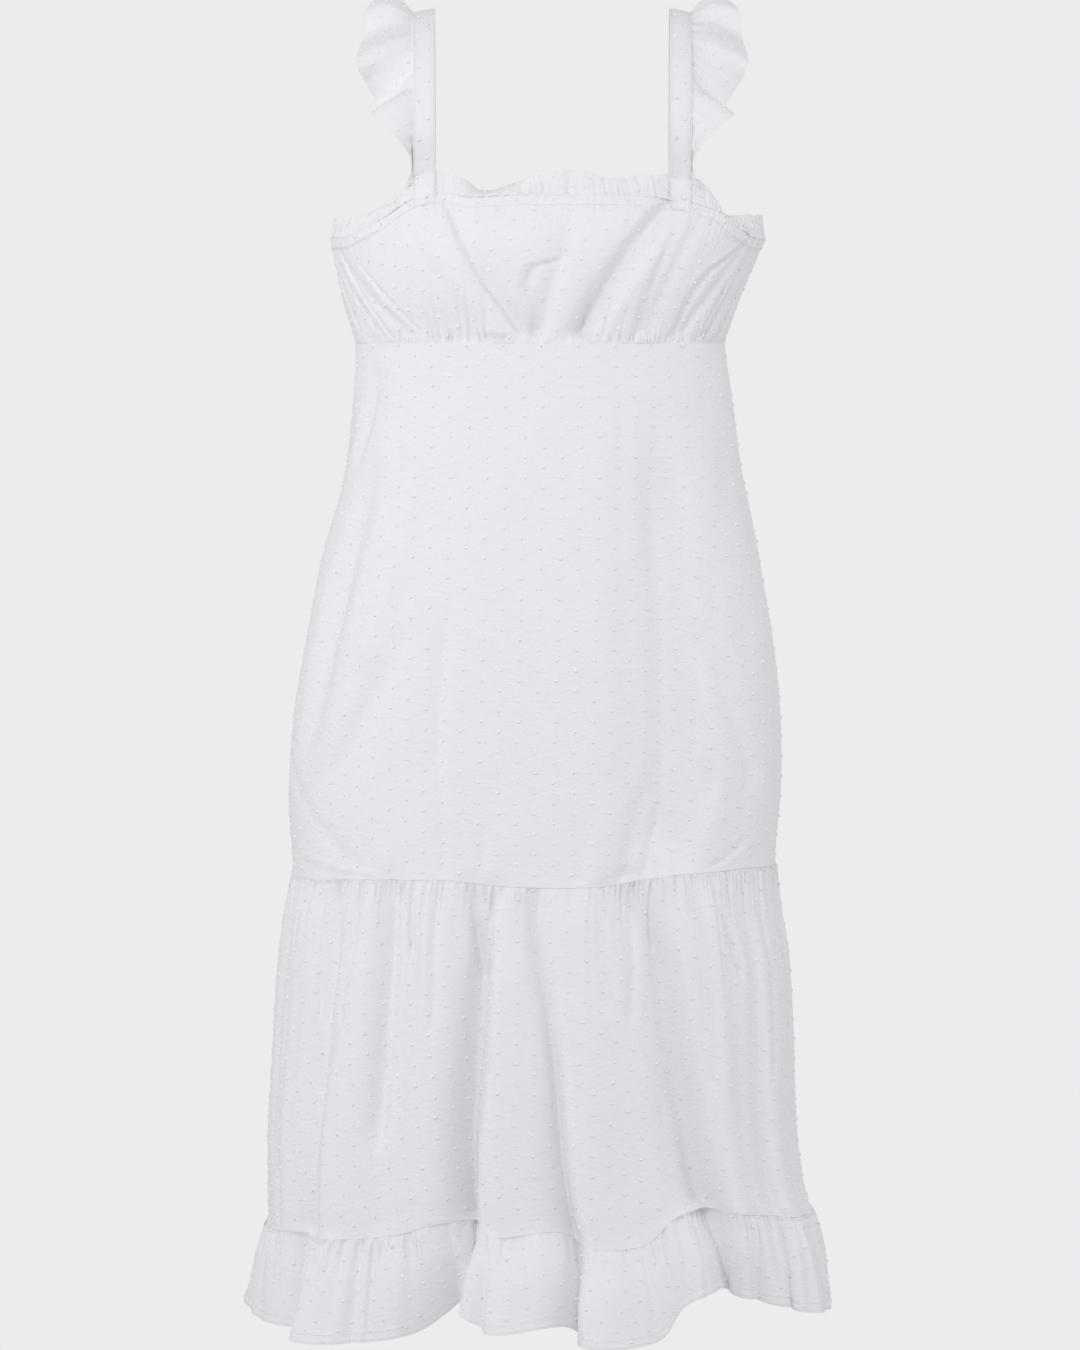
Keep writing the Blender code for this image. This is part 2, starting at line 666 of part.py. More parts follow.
def make_hem_frill(side, material):
    top = seam_points(side, GATHERED_COLUMNS, FRILL_SEAM, "frill")

    def bulge(angle, down):
        length = FRILL_SEAM - HEM
        out = hem_wave(angle, length * down)
        place = cloth(angle, FRILL_SEAM - length * down, out)
        frill, hem = (read(LIFTS, name, turned(angle)) for name in ("frill", "hem"))
        place.z += frill + (hem - frill) * down
        return place

    grid = panel(side, GATHERED_COLUMNS, HEM_FRILL_ROWS, top, None, bulge)
    return body_wall("hem_frill_" + side, grid, (0,), material)


def angle_at(x, height, side):
    """The angle at which the ring of this height passes a distance x across the dress."""
    middle, half = ring_sizes(height)
    share = min(max((x - middle) / half, -1.0), 1.0)
    angle = math.degrees(math.asin(signed_power(share, ROUNDNESS / 2)))
    return angle if side == "front" else 180.0 - angle


def sewn_on(x, side, panels):
    """Points where a strap lies on the bodice and neck frill, from its end up to the edge."""
    outward = -1.0 if side == "front" else 1.0
    angle = angle_at(x, NECKLINE_AT_STRAPS, side)
    seam, rise = read(NECKLINE, "seam", turned(angle)), read(NECKLINE, "rise", turned(angle))
    end, edge = -STRAP_END_BELOW_SEAM, rise - CLEAR_OF_FRILL_EDGE
    points = []
    for above in (end, end / 2, -CLEAR_BELOW_SEAM, CLEAR_ABOVE_SEAM, rise / 2, edge):
        height = seam + above
        found = []
        for beside in (-STRAP_WIDTH / 4, 0.0, STRAP_WIDTH / 4):
            start = Vector((x + beside, outward, height))
            for obj in panels:
                hit, place, _, _ = obj.ray_cast(start, Vector((0, -outward, 0)), distance=1.0)
                if hit:
                    found.append(place.y * outward)
        points.append(Vector((x, outward * (max(found) + STRAP_OFF_PANEL), height)))
    return points


def curve_through(points, count):
    """Evenly numbered points on a smooth curve through the given ones."""
    made = []
    for i in range(count + 1):
        place = i * (len(points) - 1) / count
        k = min(int(place), len(points) - 2)
        t = place - k
        before, a = points[max(k - 1, 0)], points[k]
        b, after = points[k + 1], points[min(k + 2, len(points) - 1)]
        leave, arrive = (b - before) / 2, (after - a) / 2
        made.append(
            a * ((1 + 2 * t) * (1 - t) ** 2)
            + leave * (t * (1 - t) ** 2)
            + b * (t * t * (3 - 2 * t))
            + arrive * (t * t * (t - 1))
        )
    return made


def splayed(x, way):
    """Straps stand slightly further apart the further back they run."""
    return x + math.copysign(STRAP_SPLAY * (way.depth - OVER_THE_SHOULDER[0].depth), x)


def strap_line(x, panels):
    """The strap's line at a distance x across: up the front, over the shoulder, down the back."""
    front = sewn_on(x, "front", panels["front"])
    back = sewn_on(splayed(x, OVER_THE_SHOULDER[-1]), "back", panels["back"])
    slope = SHOULDER_SLOPE * (abs(x) - STRAP_INNER)
    over = [front[-1]]
    for way in OVER_THE_SHOULDER:
        over.append(Vector((splayed(x, way), way.depth, way.height + WALL / 2 - slope)))
    over.append(back[-1])
    return front[:-1] + curve_through(over, STRAP_ROWS) + back[-2::-1]


def make_strap(side, panels, material):
    sign = -1 if side == "left" else 1
    grid = [
        strap_line(sign * (STRAP_INNER + STRAP_WIDTH * share), panels) for share in (0.0, 0.5, 1.0)
    ]
    if side == "left":
        grid = grid[::-1]
    return wall_object("strap_" + side, grid, surface_normals(grid), material)


def free_strap_edge(sign, panels):
    """The stretch of the strap's outer edge that carries the strap frill."""
    points = strap_line(sign * (STRAP_INNER + STRAP_WIDTH), panels)
    shift = Vector((sign * SEAM_GAP, 0, 0))
    return [point + shift for point in points[SEWN_ROWS:-SEWN_ROWS]]


def make_strap_frill(side, panels, material):
    sign = -1 if side == "left" else 1
    root = curve_through(free_strap_edge(sign, panels), STRAP_FRILL_COLUMNS)
    grid = []
    for r in range(STRAP_FRILL_ROWS):
        share = r / (STRAP_FRILL_ROWS - 1)
        row = []
        for i, start in enumerate(root):
            along = i / STRAP_FRILL_COLUMNS
            out, up, forward, bow = (
                read(STRAP_FRILL, name, along) for name in ("out", "up", "forward", "bow")
            )
            edge = Vector((sign * out, -forward, up))
            lift = bow * math.sin(math.pi * share)
            row.append(start + edge * share + Vector((0, 0, lift)))
        grid.append(row)
    if side == "left":
        grid = grid[::-1]
    normals = surface_normals(grid)
    root_row = normals[-1] if side == "left" else normals[0]
    for i, normal in enumerate(root_row):
        root_row[i] = Vector((0.0, normal.y, normal.z)).normalized()
    return wall_object("strap_frill_" + side, grid, normals, material)


def make_dress():
    material = cotton("white_cotton")
    panels = {}
    for side in ("front", "back"):
        panels[side] = (make_bodice(side, material), make_neck_frill(side, material))
        make_skirt(side, material)
        make_tier(side, material)
        make_hem_frill(side, material)
    bpy.context.view_layer.update()
    for side in ("left", "right"):
        make_strap(side, panels, material)
        make_strap_frill(side, panels, material)


clear_scene()
make_dress()
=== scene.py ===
"""Cotton midi dress: its cloth with gathers, frills and creases, its woven tufts and its stitching.

The dress is shown as worn, hollow and filled out. Metres, +Z up, and the front faces -Y.
Angles go round the figure: 0 degrees is the centre front, 90 the side seam on the +X side.
"""

import json
import math
from collections import namedtuple

import bpy
import numpy as np
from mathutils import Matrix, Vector

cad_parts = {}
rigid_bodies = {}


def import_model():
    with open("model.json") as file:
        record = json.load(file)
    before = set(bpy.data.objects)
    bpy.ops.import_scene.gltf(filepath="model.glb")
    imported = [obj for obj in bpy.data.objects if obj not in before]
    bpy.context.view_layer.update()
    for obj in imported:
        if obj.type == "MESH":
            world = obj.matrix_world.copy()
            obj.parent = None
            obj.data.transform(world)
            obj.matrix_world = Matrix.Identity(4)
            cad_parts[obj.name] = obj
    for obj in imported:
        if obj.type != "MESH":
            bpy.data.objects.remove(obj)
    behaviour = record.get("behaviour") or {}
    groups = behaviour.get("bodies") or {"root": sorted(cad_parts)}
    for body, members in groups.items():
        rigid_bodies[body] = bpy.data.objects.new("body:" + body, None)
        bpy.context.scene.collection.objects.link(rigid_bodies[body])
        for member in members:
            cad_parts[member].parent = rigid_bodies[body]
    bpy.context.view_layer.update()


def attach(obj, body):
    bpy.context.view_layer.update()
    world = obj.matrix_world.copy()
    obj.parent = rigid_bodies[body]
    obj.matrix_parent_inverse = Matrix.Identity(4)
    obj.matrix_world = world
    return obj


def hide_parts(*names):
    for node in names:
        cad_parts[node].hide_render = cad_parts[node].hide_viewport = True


bl_info = {
    "name": "Cotton Midi Dress",
    "version": (1, 0, 0),
    "blender": (4, 5, 0),
    "location": "3D View > Sidebar > Dress",
    "description": "Makes the cloth, tufts, stitching and studio of a cotton midi dress",
    "category": "Object",
}

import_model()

# The form that the solids have

ROUNDNESS = 2.2
UNDERBUST = -0.296
TIER_SEAM = -0.766
FRILL_SEAM = -1.068
HEM = -1.143

Ring = namedtuple("Ring", "height left right front back")
RINGS = (
    Ring(-0.140, 0.198, 0.199, 0.111, 0.098),
    Ring(-0.180, 0.197, 0.198, 0.119, 0.102),
    Ring(-0.209, 0.196, 0.187, 0.124, 0.103),
    Ring(-0.250, 0.188, 0.170, 0.122, 0.102),
    Ring(-0.285, 0.179, 0.158, 0.117, 0.100),
    Ring(-0.296, 0.176, 0.155, 0.116, 0.099),
    Ring(-0.340, 0.178, 0.161, 0.119, 0.098),
    Ring(-0.415, 0.187, 0.171, 0.128, 0.108),
    Ring(-0.487, 0.207, 0.186, 0.138, 0.128),
    Ring(-0.560, 0.222, 0.198, 0.147, 0.145),
    Ring(-0.632, 0.233, 0.205, 0.154, 0.152),
    Ring(-0.704, 0.2365, 0.2055, 0.160, 0.155),
    Ring(-0.766, 0.234, 0.201, 0.165, 0.157),
    Ring(-0.800, 0.241, 0.205, 0.171, 0.162),
    Ring(-0.8475, 0.247, 0.213, 0.177, 0.168),
    Ring(-0.920, 0.252, 0.218, 0.185, 0.178),
    Ring(-0.990, 0.257, 0.221, 0.192, 0.188),
    Ring(-1.040, 0.257, 0.227, 0.197, 0.195),
    Ring(-1.068, 0.257, 0.235, 0.200, 0.199),
    Ring(-1.100, 0.265, 0.246, 0.213, 0.212),
    Ring(-1.143, 0.272, 0.252, 0.222, 0.221),
)

Lift = namedtuple("Lift", "angle tier frill hem")
LIFTS = (
    Lift(-180, 0.000, -0.004, -0.006),
    Lift(-150, 0.000, 0.005, 0.006),
    Lift(-120, -0.002, -0.008, -0.010),
    Lift(-90, -0.005, -0.021, -0.020),
    Lift(-60, -0.003, -0.013, -0.023),
    Lift(-49, 0.000, -0.011, -0.023),
    Lift(-36, 0.003, -0.006, -0.019),
    Lift(-26, 0.004, 0.002, -0.009),
    Lift(-20, 0.005, 0.010, 0.014),
    Lift(-14, 0.003, 0.012, 0.014),
    Lift(-8, 0.001, 0.002, -0.001),
    Lift(2, -0.001, 0.006, 0.003),
    Lift(7, -0.001, -0.004, -0.010),
    Lift(18, 0.000, -0.008, -0.012),
    Lift(22, 0.002, 0.000, -0.006),
    Lift(26, 0.004, 0.014, 0.016),
    Lift(34, 0.007, 0.018, 0.024),
    Lift(45, 0.008, 0.012, 0.012),
    Lift(58, 0.008, 0.003, -0.002),
    Lift(72, 0.006, -0.004, -0.014),
    Lift(90, 0.004, -0.012, -0.017),
    Lift(120, 0.000, -0.006, -0.008),
    Lift(150, 0.000, 0.006, 0.006),
    Lift(180, 0.000, -0.004, -0.006),
)

Neck = namedtuple("Neck", "angle seam rise lean")
NECKLINE = (
    Neck(-180, -0.196, 0.018, 0.002),
    Neck(-140, -0.197, 0.018, 0.000),
    Neck(-120, -0.201, 0.016, 0.004),
    Neck(-90, -0.203, 0.017, 0.001),
    Neck(-80, -0.202, 0.016, 0.002),
    Neck(-66, -0.202, 0.016, 0.004),
    Neck(-58, -0.197, 0.015, 0.006),
    Neck(-50, -0.190, 0.014, 0.007),
    Neck(-44, -0.182, 0.013, 0.006),
    Neck(-38, -0.172, 0.016, 0.003),
    Neck(-33, -0.167, 0.020, 0.000),
    Neck(-28, -0.165, 0.018, 0.000),
    Neck(-24, -0.166, 0.017, 0.003),
    Neck(-19, -0.169, 0.006, 0.014),
    Neck(-13, -0.168, 0.007, 0.013),
    Neck(-8, -0.167, 0.011, 0.009),
    Neck(-3, -0.167, 0.020, 0.004),
    Neck(2, -0.167, 0.021, 0.001),
    Neck(8, -0.167, 0.019, 0.002),
    Neck(12, -0.167, 0.014, 0.005),
    Neck(22, -0.168, 0.017, 0.006),
    Neck(29, -0.170, 0.021, 0.001),
    Neck(36, -0.173, 0.021, 0.000),
    Neck(41, -0.177, 0.020, 0.003),
    Neck(46, -0.181, 0.014, 0.007),
    Neck(51, -0.189, 0.008, 0.012),
    Neck(60, -0.197, 0.013, 0.010),
    Neck(70, -0.202, 0.019, 0.005),
    Neck(90, -0.203, 0.020, 0.001),
    Neck(120, -0.201, 0.016, 0.004),
    Neck(140, -0.197, 0.018, 0.000),
    Neck(180, -0.196, 0.018, 0.002),
)

# Folds run from a head down to a foot, and a minus depth goes in. The belly is added halfway.
Fold = namedtuple(
    "Fold",
    "head_angle head_height foot_angle foot_height half_width head_depth foot_depth belly",
    defaults=(0.0,),
)
BODICE_FOLDS = (
    Fold(-26, -0.175, -4, -0.287, 4.5, -0.002, -0.004),
    Fold(-33, -0.190, -12, -0.287, 6.0, 0.002, 0.003),
    Fold(3, -0.214, 0, -0.287, 4.5, -0.004, -0.007),
    Fold(30, -0.175, 11, -0.287, 7.0, -0.006, -0.010),
    Fold(38, -0.195, 31, -0.287, 5.0, -0.002, -0.005),
    Fold(66, -0.205, 46, -0.287, 5.0, -0.002, -0.003),
    Fold(71, -0.220, 60, -0.287, 4.0, -0.002, -0.004),
    Fold(-74, -0.215, -42, -0.287, 5.0, -0.001, -0.002),
    Fold(-79, -0.222, -55, -0.287, 4.0, -0.001, -0.001),
    Fold(155, -0.215, 165, -0.287, 6.0, -0.001, -0.004),
    Fold(-150, -0.215, -162, -0.287, 6.0, -0.001, -0.004),
    Fold(125, -0.225, 138, -0.287, 6.0, -0.001, -0.003),
    Fold(-122, -0.225, -136, -0.287, 6.0, -0.001, -0.003),
)
SKIRT_FOLDS = (
    Fold(28, -0.400, 27, -0.830, 17.0, 0.000, 0.000, -0.008),
    Fold(42, -0.690, 27, -0.830, 5.0, -0.005, 0.000),
    Fold(42, -0.570, 57, -0.700, 6.0, -0.004, 0.000),
    Fold(-55, -0.390, -67, -0.680, 11.0, 0.000, 0.000, -0.011),
    Fold(-57, -0.315, -71, -0.415, 8.0, 0.000, 0.000, -0.006),
    Fold(-36, -0.570, -57, -0.760, 8.0, 0.000, 0.000, -0.004),
    Fold(-22, -0.560, -22, -0.800, 4.0, -0.002, 0.000),
    Fold(-84, -0.660, -44, -0.755, 7.0, -0.0015, -0.0015),
    Fold(160, -0.600, 163, -1.190, 9.0, -0.002, -0.024),
    Fold(-163, -0.640, -160, -1.190, 9.0, -0.002, -0.022),
)
TIER_FOLDS = (
    Fold(-11, -0.785, -19, -1.190, 7.5, -0.007, -0.031),
    Fold(0.5, -0.790, 4.5, -1.190, 6.0, -0.004, -0.012),
    Fold(21, -0.778, 36, -1.190, 10.5, -0.010, -0.023),
    Fold(-52, -0.790, -66, -1.190, 8.0, -0.004, -0.014),
    Fold(-32, -0.780, -33, -1.060, 6.0, -0.005, 0.000),
    Fold(-39, -0.850, -44, -1.190, 9.0, 0.003, 0.012),
    Fold(-3, -0.850, -2, -1.190, 7.0, 0.003, 0.010),
    Fold(9, -0.800, 17, -1.190, 9.0, 0.004, 0.016),
    Fold(44, -0.800, 47, -1.190, 7.0, 0.003, 0.009),
    Fold(55, -0.790, 56, -1.190, 5.0, -0.001, -0.006),
    Fold(66, -0.850, 67, -1.190, 8.0, 0.002, 0.008),
    Fold(134, -0.760, 131, -1.190, 9.0, -0.004, -0.020),
    Fold(-138, -0.760, -134, -1.190, 10.0, -0.004, -0.021),
    Fold(108, -0.800, 107, -1.190, 7.0, -0.003, -0.010),
    Fold(-110, -0.800, -108, -1.190, 7.0, -0.003, -0.010),
    Fold(180, -0.800, 180, -1.190, 12.0, 0.002, 0.012),
    Fold(147, -0.820, 147, -1.190, 9.0, 0.002, 0.010),
    Fold(-149, -0.820, -148, -1.190, 9.0, 0.002, 0.010),
    Fold(120, -0.820, 119, -1.190, 8.0, 0.002, 0.008),
    Fold(-122, -0.820, -121, -1.190, 9.0, 0.002, 0.008),
)
HEM_FRILL_FOLDS = (
    Fold(-85, -1.066, -86, -1.160, 9.0, 0.000, 0.010),
    Fold(-64, -1.066, -63, -1.160, 11.5, 0.000, -0.031),
    Fold(-42, -1.066, -41, -1.160, 12.0, 0.000, 0.014),
    Fold(-23, -1.066, -24, -1.160, 9.0, 0.000, -0.034),
    Fold(-1, -1.066, -1, -1.160, 8.0, 0.000, 0.012),
    Fold(15, -1.066, 15, -1.160, 9.0, 0.000, 0.018),
    Fold(38, -1.066, 42, -1.160, 12.5, 0.000, -0.024),
    Fold(63, -1.066, 64, -1.160, 8.0, 0.000, 0.012),
    Fold(70, -1.066, 70, -1.160, 5.0, 0.000, -0.008),
    Fold(81, -1.066, 82, -1.160, 8.0, 0.000, 0.006),
    Fold(111, -1.066, 112, -1.160, 7.0, 0.000, -0.012),
    Fold(124, -1.066, 125, -1.160, 9.0, 0.000, 0.012),
    Fold(137, -1.066, 137, -1.160, 7.0, 0.000, -0.012),
    Fold(150, -1.066, 149, -1.160, 9.0, 0.000, 0.012),
    Fold(163, -1.066, 164, -1.160, 8.0, 0.000, -0.016),
    Fold(179, -1.066, 178, -1.160, 11.0, 0.000, 0.014),
    Fold(-161, -1.066, -162, -1.160, 8.0, 0.000, -0.016),
    Fold(-147, -1.066, -147, -1.160, 9.0, 0.000, 0.012),
    Fold(-134, -1.066, -133, -1.160, 7.0, 0.000, -0.014),
    Fold(-121, -1.066, -121, -1.160, 9.0, 0.000, 0.012),
    Fold(-109, -1.066, -108, -1.160, 7.0, 0.000, -0.012),
)
FOLDS = BODICE_FOLDS + SKIRT_FOLDS + TIER_FOLDS + HEM_FRILL_FOLDS
FADE_ABOVE = 0.035
FADE_BELOW = 0.005
OVERHANG = 0.002
HEM_OVERHANG = 0.006
HEM_OVERHANG_REACH = 0.050
FOLD_LEAN = 0.35
FOLD_LEAN_REACH = 0.080
FOLD_SKEW = 0.35

BUST_HEIGHT = -0.232
BUST_ACROSS = 0.085
BUST_SPREAD = 0.060
BUST_REACH = 0.042
BUST_FULLNESS = 0.004
BUST_FOOT = 0.03

# How far round the dress, in degrees, the slope of the folds is read to both sides
LEAN_STEP = 1.0

# Slow and quick unevenness of the cloth
SLOW_WANDER = 0.0008
QUICK_WANDER = 0.0004

# Creases that are finer than the solids' folds. They follow a line through up to four points
# and have a narrow valley beside a softer ridge; the ridge is on the +angle side if it is plus.
Crease = namedtuple("Crease", "path half_width depth ridge")
BODICE_CREASES = (
    Crease(((-26.5, -0.176), (-16, -0.240), (-5.2, -0.292)), 1.3, 0.0036, -0.0006),
    Crease(((4.5, -0.222), (-2.2, -0.230), (-3.6, -0.248), (-0.8, -0.292)), 2.6, 0.0050, 0.0006),
    Crease(((29, -0.168), (20.0, -0.212), (14.0, -0.252), (9.6, -0.292)), 5.0, 0.0060, -0.0008),
    Crease(((33, -0.184), (30.5, -0.231), (29, -0.260), (28, -0.292)), 2.8, 0.0030, -0.0008),
    Crease(((66, -0.207), (51, -0.231), (46.5, -0.247), (41.8, -0.292)), 2.8, 0.0026, -0.0008),
    Crease(((63, -0.240), (59, -0.268), (56, -0.290)), 1.6, 0.0022, 0.0010),
    Crease(((19.4, -0.255), (18.2, -0.275), (17.2, -0.292)), 1.3, 0.0020, 0.0010),
    Crease(((-72, -0.219), (-60, -0.258), (-49.5, -0.291)), 1.2, 0.0018, -0.0004),
    Crease(((-59, -0.228), (-47, -0.258), (-36, -0.288)), 1.4, 0.0016, -0.0004),
    Crease(((-84, -0.226), (-76, -0.262), (-68, -0.291)), 1.4, 0.0014, -0.0004),
    Crease(((80, -0.224), (74, -0.262), (69, -0.291)), 2.0, 0.0020, 0.0010),
    Crease(((150, -0.206), (157, -0.250), (163, -0.291)), 2.2, 0.0028, 0.0014),
    Crease(((-146, -0.208), (-156, -0.252), (-164, -0.291)), 2.2, 0.0028, -0.0014),
    Crease(((122, -0.214), (131, -0.256), (138, -0.291)), 2.0, 0.0022, 0.0010),
    Crease(((-118, -0.212), (-128, -0.256), (-137, -0.291)), 2.0, 0.0022, -0.0010),
    Crease(((176, -0.236), (178, -0.262), (179, -0.291)), 1.8, 0.0018, 0.0008),
    Crease(((104, -0.226), (108, -0.262), (112, -0.291)), 1.6, 0.0016, 0.0008),
    Crease(((-101, -0.226), (-106, -0.262), (-110, -0.291)), 1.6, 0.0016, -0.0008),
)
SKIRT_CREASES = (
    Crease(((23.6, -0.684), (21.4, -0.732), (19.4, -0.764)), 4.2, 0.0032, -0.0004),
    Crease(((30.4, -0.700), (27.4, -0.736), (25.5, -0.764)), 2.8, 0.0020, 0.0004),
    Crease(((38.0, -0.676), (32.4, -0.722), (26.4, -0.764)), 3.8, 0.0018, 0.0006),
    Crease(((57.0, -0.740), (49.0, -0.755), (42.4, -0.764)), 3.0, 0.0022, 0.0010),
    Crease(((-30.0, -0.540), (-40.2, -0.610), (-54.0, -0.680)), 7.0, 0.0024, -0.0004),
    Crease(((-72, -0.748), (-58, -0.757), (-44, -0.762)), 4.0, 0.0018, 0.0010),
    Crease(((-39.0, -0.350), (-36.8, -0.430), (-38.0, -0.500), (-46.0, -0.580)), 7.0, -0.0036, -0.0012),
    Crease(((21.5, -0.300), (20.5, -0.415), (19.5, -0.560), (20.0, -0.764)), 4.5, 0.0012, -0.0006),
    Crease(((32.0, -0.380), (33.0, -0.520), (33.0, -0.640), (29.0, -0.755)), 12.0, 0.0130, 0.0),
    Crease(((44.0, -0.500), (49.0, -0.600), (60.0, -0.690)), 6.0, 0.0026, -0.0004),
    Crease(((-21, -0.540), (-20.4, -0.660), (-19, -0.764)), 2.4, 0.0014, 0.0008),
    Crease(((-1.5, -0.560), (-1.0, -0.660), (-0.5, -0.762)), 3.0, 0.0010, -0.0006),
    Crease(((10, -0.700), (9.4, -0.735), (9.0, -0.764)), 2.4, 0.0014, 0.0008),
    Crease(((-10, -0.716), (-10.6, -0.744), (-11.2, -0.764)), 2.2, 0.0014, 0.0008),
    Crease(((152, -0.560), (157, -0.660), (161, -0.764)), 3.4, 0.0036, 0.0018),
    Crease(((-156, -0.580), (-160, -0.670), (-162, -0.764)), 3.4, 0.0034, -0.0018),
    Crease(((128, -0.340), (118, -0.440), (112, -0.540)), 7.0, 0.0030, 0.0016),
    Crease(((-130, -0.340), (-119, -0.440), (-113, -0.540)), 7.0, 0.0030, -0.0016),
    Crease(((140, -0.660), (136, -0.710), (133, -0.764)), 3.0, 0.0026, 0.0014),
    Crease(((-144, -0.670), (-139, -0.715), (-136, -0.764)), 3.0, 0.0026, -0.0014),
    Crease(((178, -0.700), (179, -0.735), (180, -0.764)), 2.6, 0.0018, 0.0008),
)
LOWER_CREASES = (
    Crease(((-13.2, -0.768), (-11.6, -0.800), (-10.6, -0.850)), 1.8, 0.0036, -0.0006),
    Crease(((-6.2, -0.768), (-8.0, -0.800), (-9.4, -0.850)), 1.8, 0.0036, 0.0006),
    Crease(((-9.8, -0.790), (-11.5, -0.900), (-12.8, -0.980), (-14.4, -1.110)), 3.8, 0.0068, 0.0004),
    Crease(((-0.5, -0.775), (1.0, -0.850), (4.6, -0.960), (6.2, -1.090)), 2.4, 0.0048, 0.0008),
    Crease(((21.4, -0.768), (20.8, -0.806), (19.6, -0.880)), 2.0, 0.0030, 0.0008),
    Crease(((27.0, -0.768), (26.4, -0.796), (26.0, -0.830)), 1.0, 0.0026, 0.0008),
    Crease(((23.0, -0.780), (25.4, -0.880), (29.6, -0.960), (34.4, -1.100)), 8.0, 0.0085, 0.0004),
    Crease(((-30.0, -0.772), (-31.0, -0.862), (-32.4, -0.990)), 4.4, 0.0054, -0.0010),
    Crease(((-26.5, -0.770), (-25.8, -0.800), (-25.0, -0.830)), 1.4, 0.0032, 0.0012),
    Crease(((-49.0, -0.780), (-48.6, -0.900), (-53.0, -0.985), (-60.0, -1.110)), 5.8, 0.0066, -0.0004),
    Crease(((43.0, -0.772), (47.0, -0.812), (51.0, -0.860)), 1.8, 0.0030, 0.0012),
    Crease(((38.0, -0.774), (38.8, -0.850), (40.0, -0.960)), 2.6, 0.0024, 0.0012),
    Crease(((13.0, -0.774), (13.6, -0.820), (14.4, -0.870)), 1.8, 0.0022, 0.0010),
    Crease(((-42.0, -0.774), (-43.0, -0.830), (-44.0, -0.890)), 2.2, 0.0024, -0.0012),
    Crease(((-20.0, -0.774), (-20.2, -0.830), (-19.8, -0.900)), 2.0, 0.0018, 0.0010),
    Crease(((62.0, -0.776), (65.0, -0.850), (63.0, -0.950)), 3.6, 0.0024, 0.0006),
    Crease(((76.0, -0.776), (79.0, -0.860), (76.0, -1.000)), 4.6, 0.0026, 0.0006),
    Crease(((-72.0, -0.776), (-76.0, -0.880), (-73.0, -1.020)), 4.6, 0.0028, -0.0006),
    Crease(((160.0, -0.772), (162.0, -0.900), (162.0, -1.050)), 3.0, 0.0050, 0.0024),
    Crease(((-163.0, -0.772), (-162.0, -0.900), (-161.0, -1.050)), 3.0, 0.0050, -0.0024),
    Crease(((134.0, -0.772), (132.6, -0.900), (131.6, -1.050)), 2.8, 0.0044, 0.0020),
    Crease(((-138.0, -0.772), (-136.0, -0.900), (-135.0, -1.050)), 2.8, 0.0044, -0.0020),
    Crease(((174.0, -0.774), (174.0, -0.830), (175.0, -0.900)), 2.0, 0.0028, 0.0012),
    Crease(((-172.0, -0.774), (-173.0, -0.820), (-173.0, -0.880)), 2.0, 0.0026, 0.0012),
    Crease(((148.0, -0.774), (147.0, -0.840), (147.0, -0.930)), 2.2, 0.0028, 0.0012),
    Crease(((-150.0, -0.774), (-150.0, -0.850), (-149.0, -0.940)), 2.2, 0.0028, 0.0012),
    Crease(((120.0, -0.774), (119.0, -0.850), (119.0, -0.960)), 2.4, 0.0030, 0.0014),
    Crease(((-121.0, -0.774), (-120.0, -0.860), (-120.0, -0.980)), 2.4, 0.0030, 0.0014),
    Crease(((106.0, -0.774), (106.0, -0.880), (106.0, -1.000)), 2.4, 0.0028, 0.0012),
    Crease(((-106.0, -0.774), (-107.0, -0.890), (-107.0, -1.010)), 2.4, 0.0028, 0.0012),
)

# Where a crease fades in and out, as shares of its length, and the shape across it
CREASE_START = 0.12
CREASE_FADE_IN = 0.34
CREASE_END = 1.06
CREASE_FADE_OUT = 0.14
VALLEY_STEEPNESS = 1.7
RIDGE_STEEPNESS = 1.1
RIDGE_OFF = 1.45

# Each lower panel's top edge tucks in behind the seam above it
TUCK_UP = 0.0025
TUCK_IN = 0.0018

# Gathers on each half of the dress: their number and seed, their half widths in degrees, and
# their lengths and depths in metres, each between a least and a largest value
Gathers = namedtuple("Gathers", "count seed narrow wide short long shallow deep")
UNDERBUST_TICKS = Gathers(120, 11, 0.35, 0.80, 0.006, 0.020, 0.0008, 0.0026)
UNDERBUST_RAYS = Gathers(34, 12, 0.9, 2.0, 0.018, 0.056, 0.0006, 0.0022)
CASING_CRIMPS = Gathers(110, 13, 0.5, 1.0, 0.010, 0.030, 0.0003, 0.0009)
TIER_TICKS = Gathers(130, 21, 0.32, 0.80, 0.008, 0.034, 0.0010, 0.0034)
TIER_RAYS = Gathers(44, 22, 0.9, 2.6, 0.030, 0.120, 0.0010, 0.0030)
TIER_FLUTES = Gathers(16, 23, 2.6, 6.0, 0.200, 0.600, 0.0010, 0.0036)
HEM_TICKS = Gathers(130, 31, 0.32, 0.80, 0.008, 0.028, 0.0010, 0.0036)
HEM_RAYS = Gathers(42, 32, 1.2, 2.8, 0.040, 0.110, 0.0016, 0.0056)
HEM_FLUTES = Gathers(15, 33, 3.5, 6.5, 0.060, 0.120, 0.0020, 0.0070)
NECK_CRIMPS = Gathers(130, 41, 0.45, 1.1, 0.010, 0.022, 0.0010, 0.0030)
NECK_WAVES = Gathers(40, 42, 1.2, 2.8, 0.020, 0.040, 0.0006, 0.0020)

# How unevenly the gathers stand, how they slant, and the shape across one of them
BACK_SEED = 100
GATHER_JITTER = 0.42
GATHER_SLANT = 0.35
GATHER_REACH = 3.2
GATHER_STEEPNESS = 1.6
FLANK_SHARE = 0.42
FLANK_STEEPNESS = 0.75

